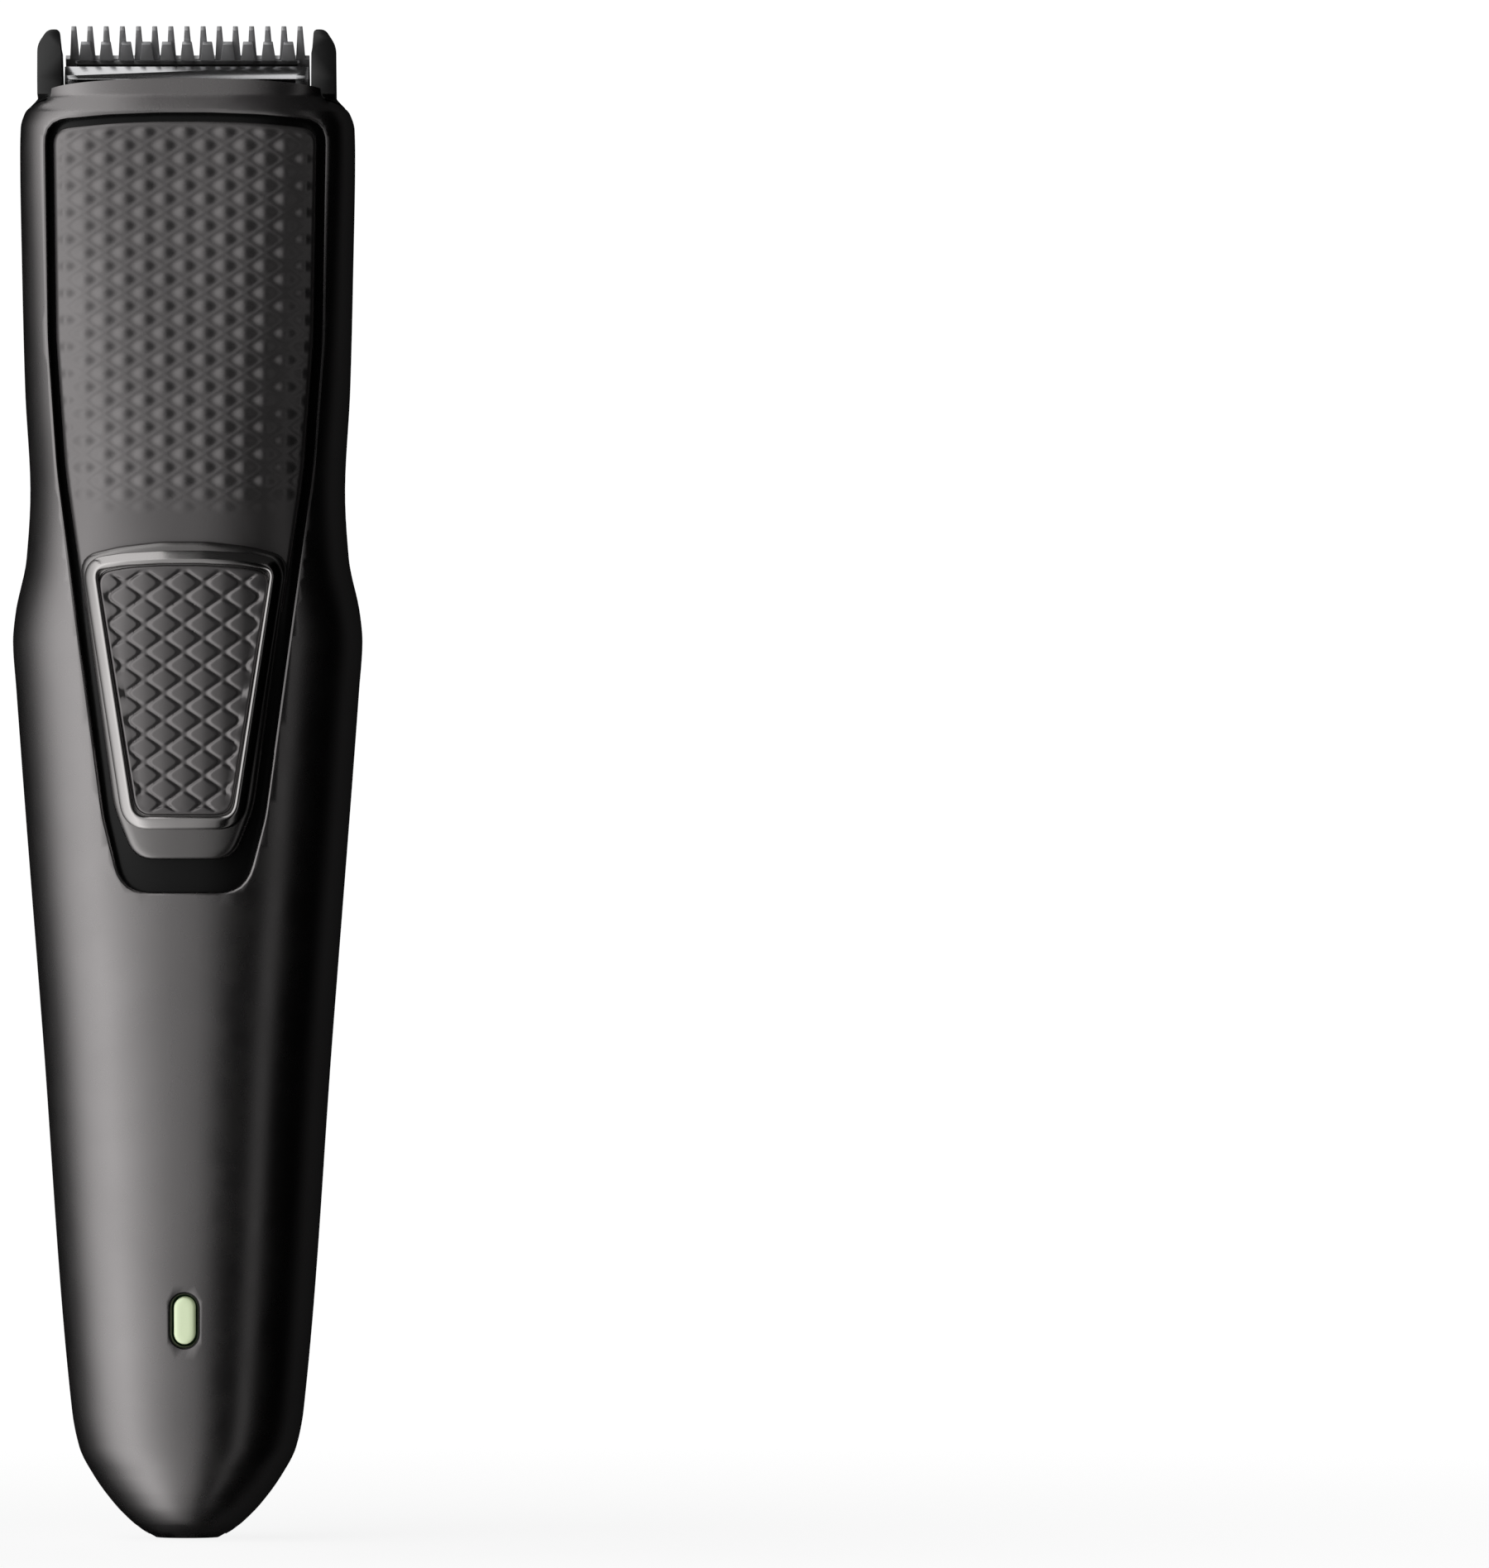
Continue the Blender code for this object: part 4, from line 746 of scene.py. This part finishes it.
def outlineDistance(outline, x, z):
    nearest = np.full(x.shape, 1e9)
    for a, b in zip(outline, outline[1:] + outline[:1]):
        run = b - a
        t = np.clip(((x - a.x) * run.x + (z - a.y) * run.y) / max(run.length_squared, 1e-12), 0, 1)
        nearest = np.minimum(nearest, np.hypot(x - a.x - t * run.x, z - a.y - t * run.y))
    return nearest


def edgeDrop(distance, radius):
    t = np.clip(distance / radius, 0, 1)
    return radius * (1 - np.sqrt(np.clip(1 - (1 - t) ** 2, 0, 1)))


def halfWidthAt(outline, z):
    best = 0.0
    for a, b in zip(outline, outline[1:] + outline[:1]):
        if (a.y - z) * (b.y - z) <= 0 and abs(a.y - b.y) > 1e-9:
            best = max(best, a.x + (b.x - a.x) * (z - a.y) / (b.y - a.y))
    return best


def texturedPlate(name, outline, look, heightAt):  # follows the front, its top raised by heightAt
    fine = evenly(outline, 0.25)
    low, high = min(p.y for p in fine), max(p.y for p in fine)
    low, high = low + 0.01, high - 0.01
    heights = levels(low, high, look["rowStep"], [(low, low + 1.49, 0.1), (high - 1.59, high, 0.1)])
    count = look["across"]
    turns = [math.pi * (0.5 + (k / count - 0.5) * 0.86) for k in range(count + 1)]
    across = [-math.cos(turn) / math.cos(math.pi * 0.07) for turn in turns]  # closer together at the sides
    xs = np.array([[halfWidthAt(fine, z) * part for part in across] for z in heights])
    zs = np.array([[z] * (count + 1) for z in heights])
    distance = outlineDistance(fine, xs, zs)
    offsets = look["proud"] - edgeDrop(distance, look["edgeRound"]) + heightAt(xs, zs, distance)
    rings = []
    for row, z in enumerate(heights):
        top = [(float(x), frontY(float(x), z, float(o)), z) for x, o in zip(xs[row], offsets[row])]
        edge = abs(top[-1][0])
        back = [(edge * (1 - k / 6), frontY(edge * (1 - k / 6), z, look["under"]), z) for k in range(0, 13)]
        rings.append(top + back)
    return ringPiece(name, rings)


def gripHeight(x, z, distance):
    fade = np.clip((z - grip["fadeLow"]) / (grip["fadeHigh"] - grip["fadeLow"]), 0, 1)
    edge = np.clip((distance - 0.35) / 0.6, 0, 1)
    peak = scales(x, z - grip["cellsFrom"], grip["cellWidth"], grip["cellHeight"])
    cells = grip["cellDepth"] * (peak**2.2 - 0.3) + grip["netHeight"] * (1 - peak) ** 4
    return cells * fade * edge


gripPanel = texturedPlate("gripPanel", bothHalves(outlines["panel"]), grip, gripHeight)
dress(gripPanel, materials["panelCharcoal"], "handle", 60)
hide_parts("grip_panel")
print("grip panel made", len(gripPanel.data.polygons))

# Slide switch
button = {
    "body": 1.3, "padTop": 1.66, "stepZ": 93.5, "stepRise": 0.45,  # above stepZ it rides over the panel
    "cellWidth": 4.16, "cellHeight": 2.9, "cellsFrom": 89.6, "grooveDepth": 0.2, "dome": 0.1,
}
sliderOutline = bothHalves(outlines["slider"])
sliderBody = frontPlate(
    "sliderBody",
    sliderOutline,
    [
        (-0.1, -0.9), (0.0, -0.8), (0.0, 0.62), (-0.06, 0.86), (-0.2, 1.06), (-0.42, 1.2),
        (-0.75, button["body"] - 0.03), (-1.1, button["body"]),
    ],
    step=0.6,
)
stepOutline = [(-14, button["stepZ"]), (14, button["stepZ"]), (14, 110), (-14, 110)]
cutAway(sliderBody, frontPlate("stepTool", stepOutline, [(0, "-5"), (0, button["stepRise"])]))
padRoom = frontPlate("padRoom", bothHalves(outlines["pad"]), [(0.2, 0.9), (0.2, "-30")], step=0.6)
cutAway(sliderBody, padRoom)
dress(sliderBody, materials["sliderGrey"], "slide_switch")
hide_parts("switch_slider")

rimBase = evenly(bothHalves(outlines["rim"]), 0.35)
rimProfile = [
    (0.55, 1.18), (0.52, 1.29), (0.42, 1.42), (0.25, 1.54), (0.05, 1.65), (-0.15, 1.75), (-0.33, 1.84),
    (-0.46, 1.89), (-0.57, 1.91), (-0.66, 1.9), (-0.76, 1.84), (-0.85, 1.74), (-0.9, 1.64), (-0.9, 1.1),
    (-0.3, 1.1),
]
rimRings = []
for growth, offset in rimProfile:
    rimRings.append([(p.x, frontY(p.x, p.y, offset), p.y) for p in grownBy(rimBase, growth)])
sliderRim = ringPiece("sliderRim", rimRings, joined=True)
dress(sliderRim, materials["rimPolish"], "slide_switch", 60)


def padHeight(x, z, distance):
    edge = np.clip((distance - 0.3) / 0.6, 0, 1)
    peak = scales(x, z - button["cellsFrom"], button["cellWidth"], button["cellHeight"])
    rise = np.clip(peak / 0.32, 0, 1)
    return (button["grooveDepth"] * (rise * rise * (3 - 2 * rise) - 1) + button["dome"] * (peak - 1)) * edge


padLook = {"proud": button["padTop"], "under": 1.2, "edgeRound": 0.3, "across": 130, "rowStep": 0.15}
thumbPad = texturedPlate("thumbPad", bothHalves(outlines["pad"]), padLook, padHeight)
dress(thumbPad, materials["panelCharcoal"], "slide_switch", 60)
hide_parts("switch_pad")
print("slide switch made")

# Charge light
pill = stadium(window["halfWidth"], window["halfHeight"], window["z"])
chargeLight = frontPlate(
    "chargeLight",
    pill,
    [(0.0, "-8.5"), (0.0, -0.3), (-0.04, -0.08), (-0.14, 0.04), (-0.32, 0.1), (-0.55, 0.13)],
    step=0.3,
    capSteps=4,
)
dress(chargeLight, materials["litLens"], "handle")
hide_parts("indicator_window")
print("charge light made")

# Blade head and inlet: the CAD shapes, merged, with their edges broken
edgeBreaks = {
    "head_frame": ("headFrame", 0.22, "blackPlastic", "blade_head", "black_plastic"),
    "guard_blade": ("guardBlade", 0.05, "cutterSteel", "blade_head", "blade_steel"),
    "retainer_strip": ("retainerStrip", 0.06, "bladeSteel", "blade_head", "blade_steel"),
    "guard_screw_left": ("guardScrewLeft", 0.08, "steel", "blade_head", "steel"),
    "guard_screw_right": ("guardScrewRight", 0.08, "steel", "blade_head", "steel"),
    "cutter_blade": ("cutterBlade", 0.05, "cutterSteel", "cutter", "blade_steel"),
    "cutter_bridge": ("cutterBridge", 0.12, "blackPlastic", "cutter", "black_plastic"),
    "socket_shell": ("socketShell", 0.1, "steel", "handle", "steel"),
}
for node, (name, width, finish, body, slot) in edgeBreaks.items():
    source = frame["nodes"][node]
    piece = bpy.data.objects.new(name, source.data.copy())
    piece.matrix_world = source.matrix_world.copy()
    bpy.context.scene.collection.objects.link(piece)
    piece.data.materials.clear()
    editMesh(
        piece,
        lambda: bpy.ops.mesh.remove_doubles(threshold=2e-6),
        lambda: bpy.ops.mesh.dissolve_limited(angle_limit=math.radians(3)),
    )
    softenEdges(piece, width, segments=2, angle=25)
    dress(piece, materials[finish], body, 30)
    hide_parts(node)
print("blade head made")

# Carried-over pieces keep their shape and take a finish
keptFinishes = {
    "blackPlastic": ["chassis", "charge_chip", "switch_carrier", "socket_tongue"],
    "steel": [
        "deck_screw_left", "deck_screw_right", "cutter_spring", "motor_can",
        "motor_shaft", "armature_core", "battery_tab_positive", "battery_tab_negative", "toggle_switch",
        "board_capacitor",
    ],
    "copper": ["armature_winding", "commutator", "motor_brush_left", "motor_brush_right"],
    "bronze": ["motor_bush"],
    "ferrite": ["motor_magnet_left", "motor_magnet_right"],
    "naturalWhite": ["eccentric_pin", "motor_end_cap", "toggle_knob", "indicator_lamp", "board_cable"],
    "boardGreen": ["switch_board", "charge_board"],
    "softBlack": ["shaft_seal"],
    "cellWrap": ["battery_cell"],
    "leadRed": ["motor_lead_red"],
    "leadBlack": ["motor_lead_black"],
}
for finish, names in keptFinishes.items():
    for name in names:
        node = frame["nodes"][name]
        for slot in node.material_slots:
            slot.material = materials[finish]
print("carried-over pieces finished")
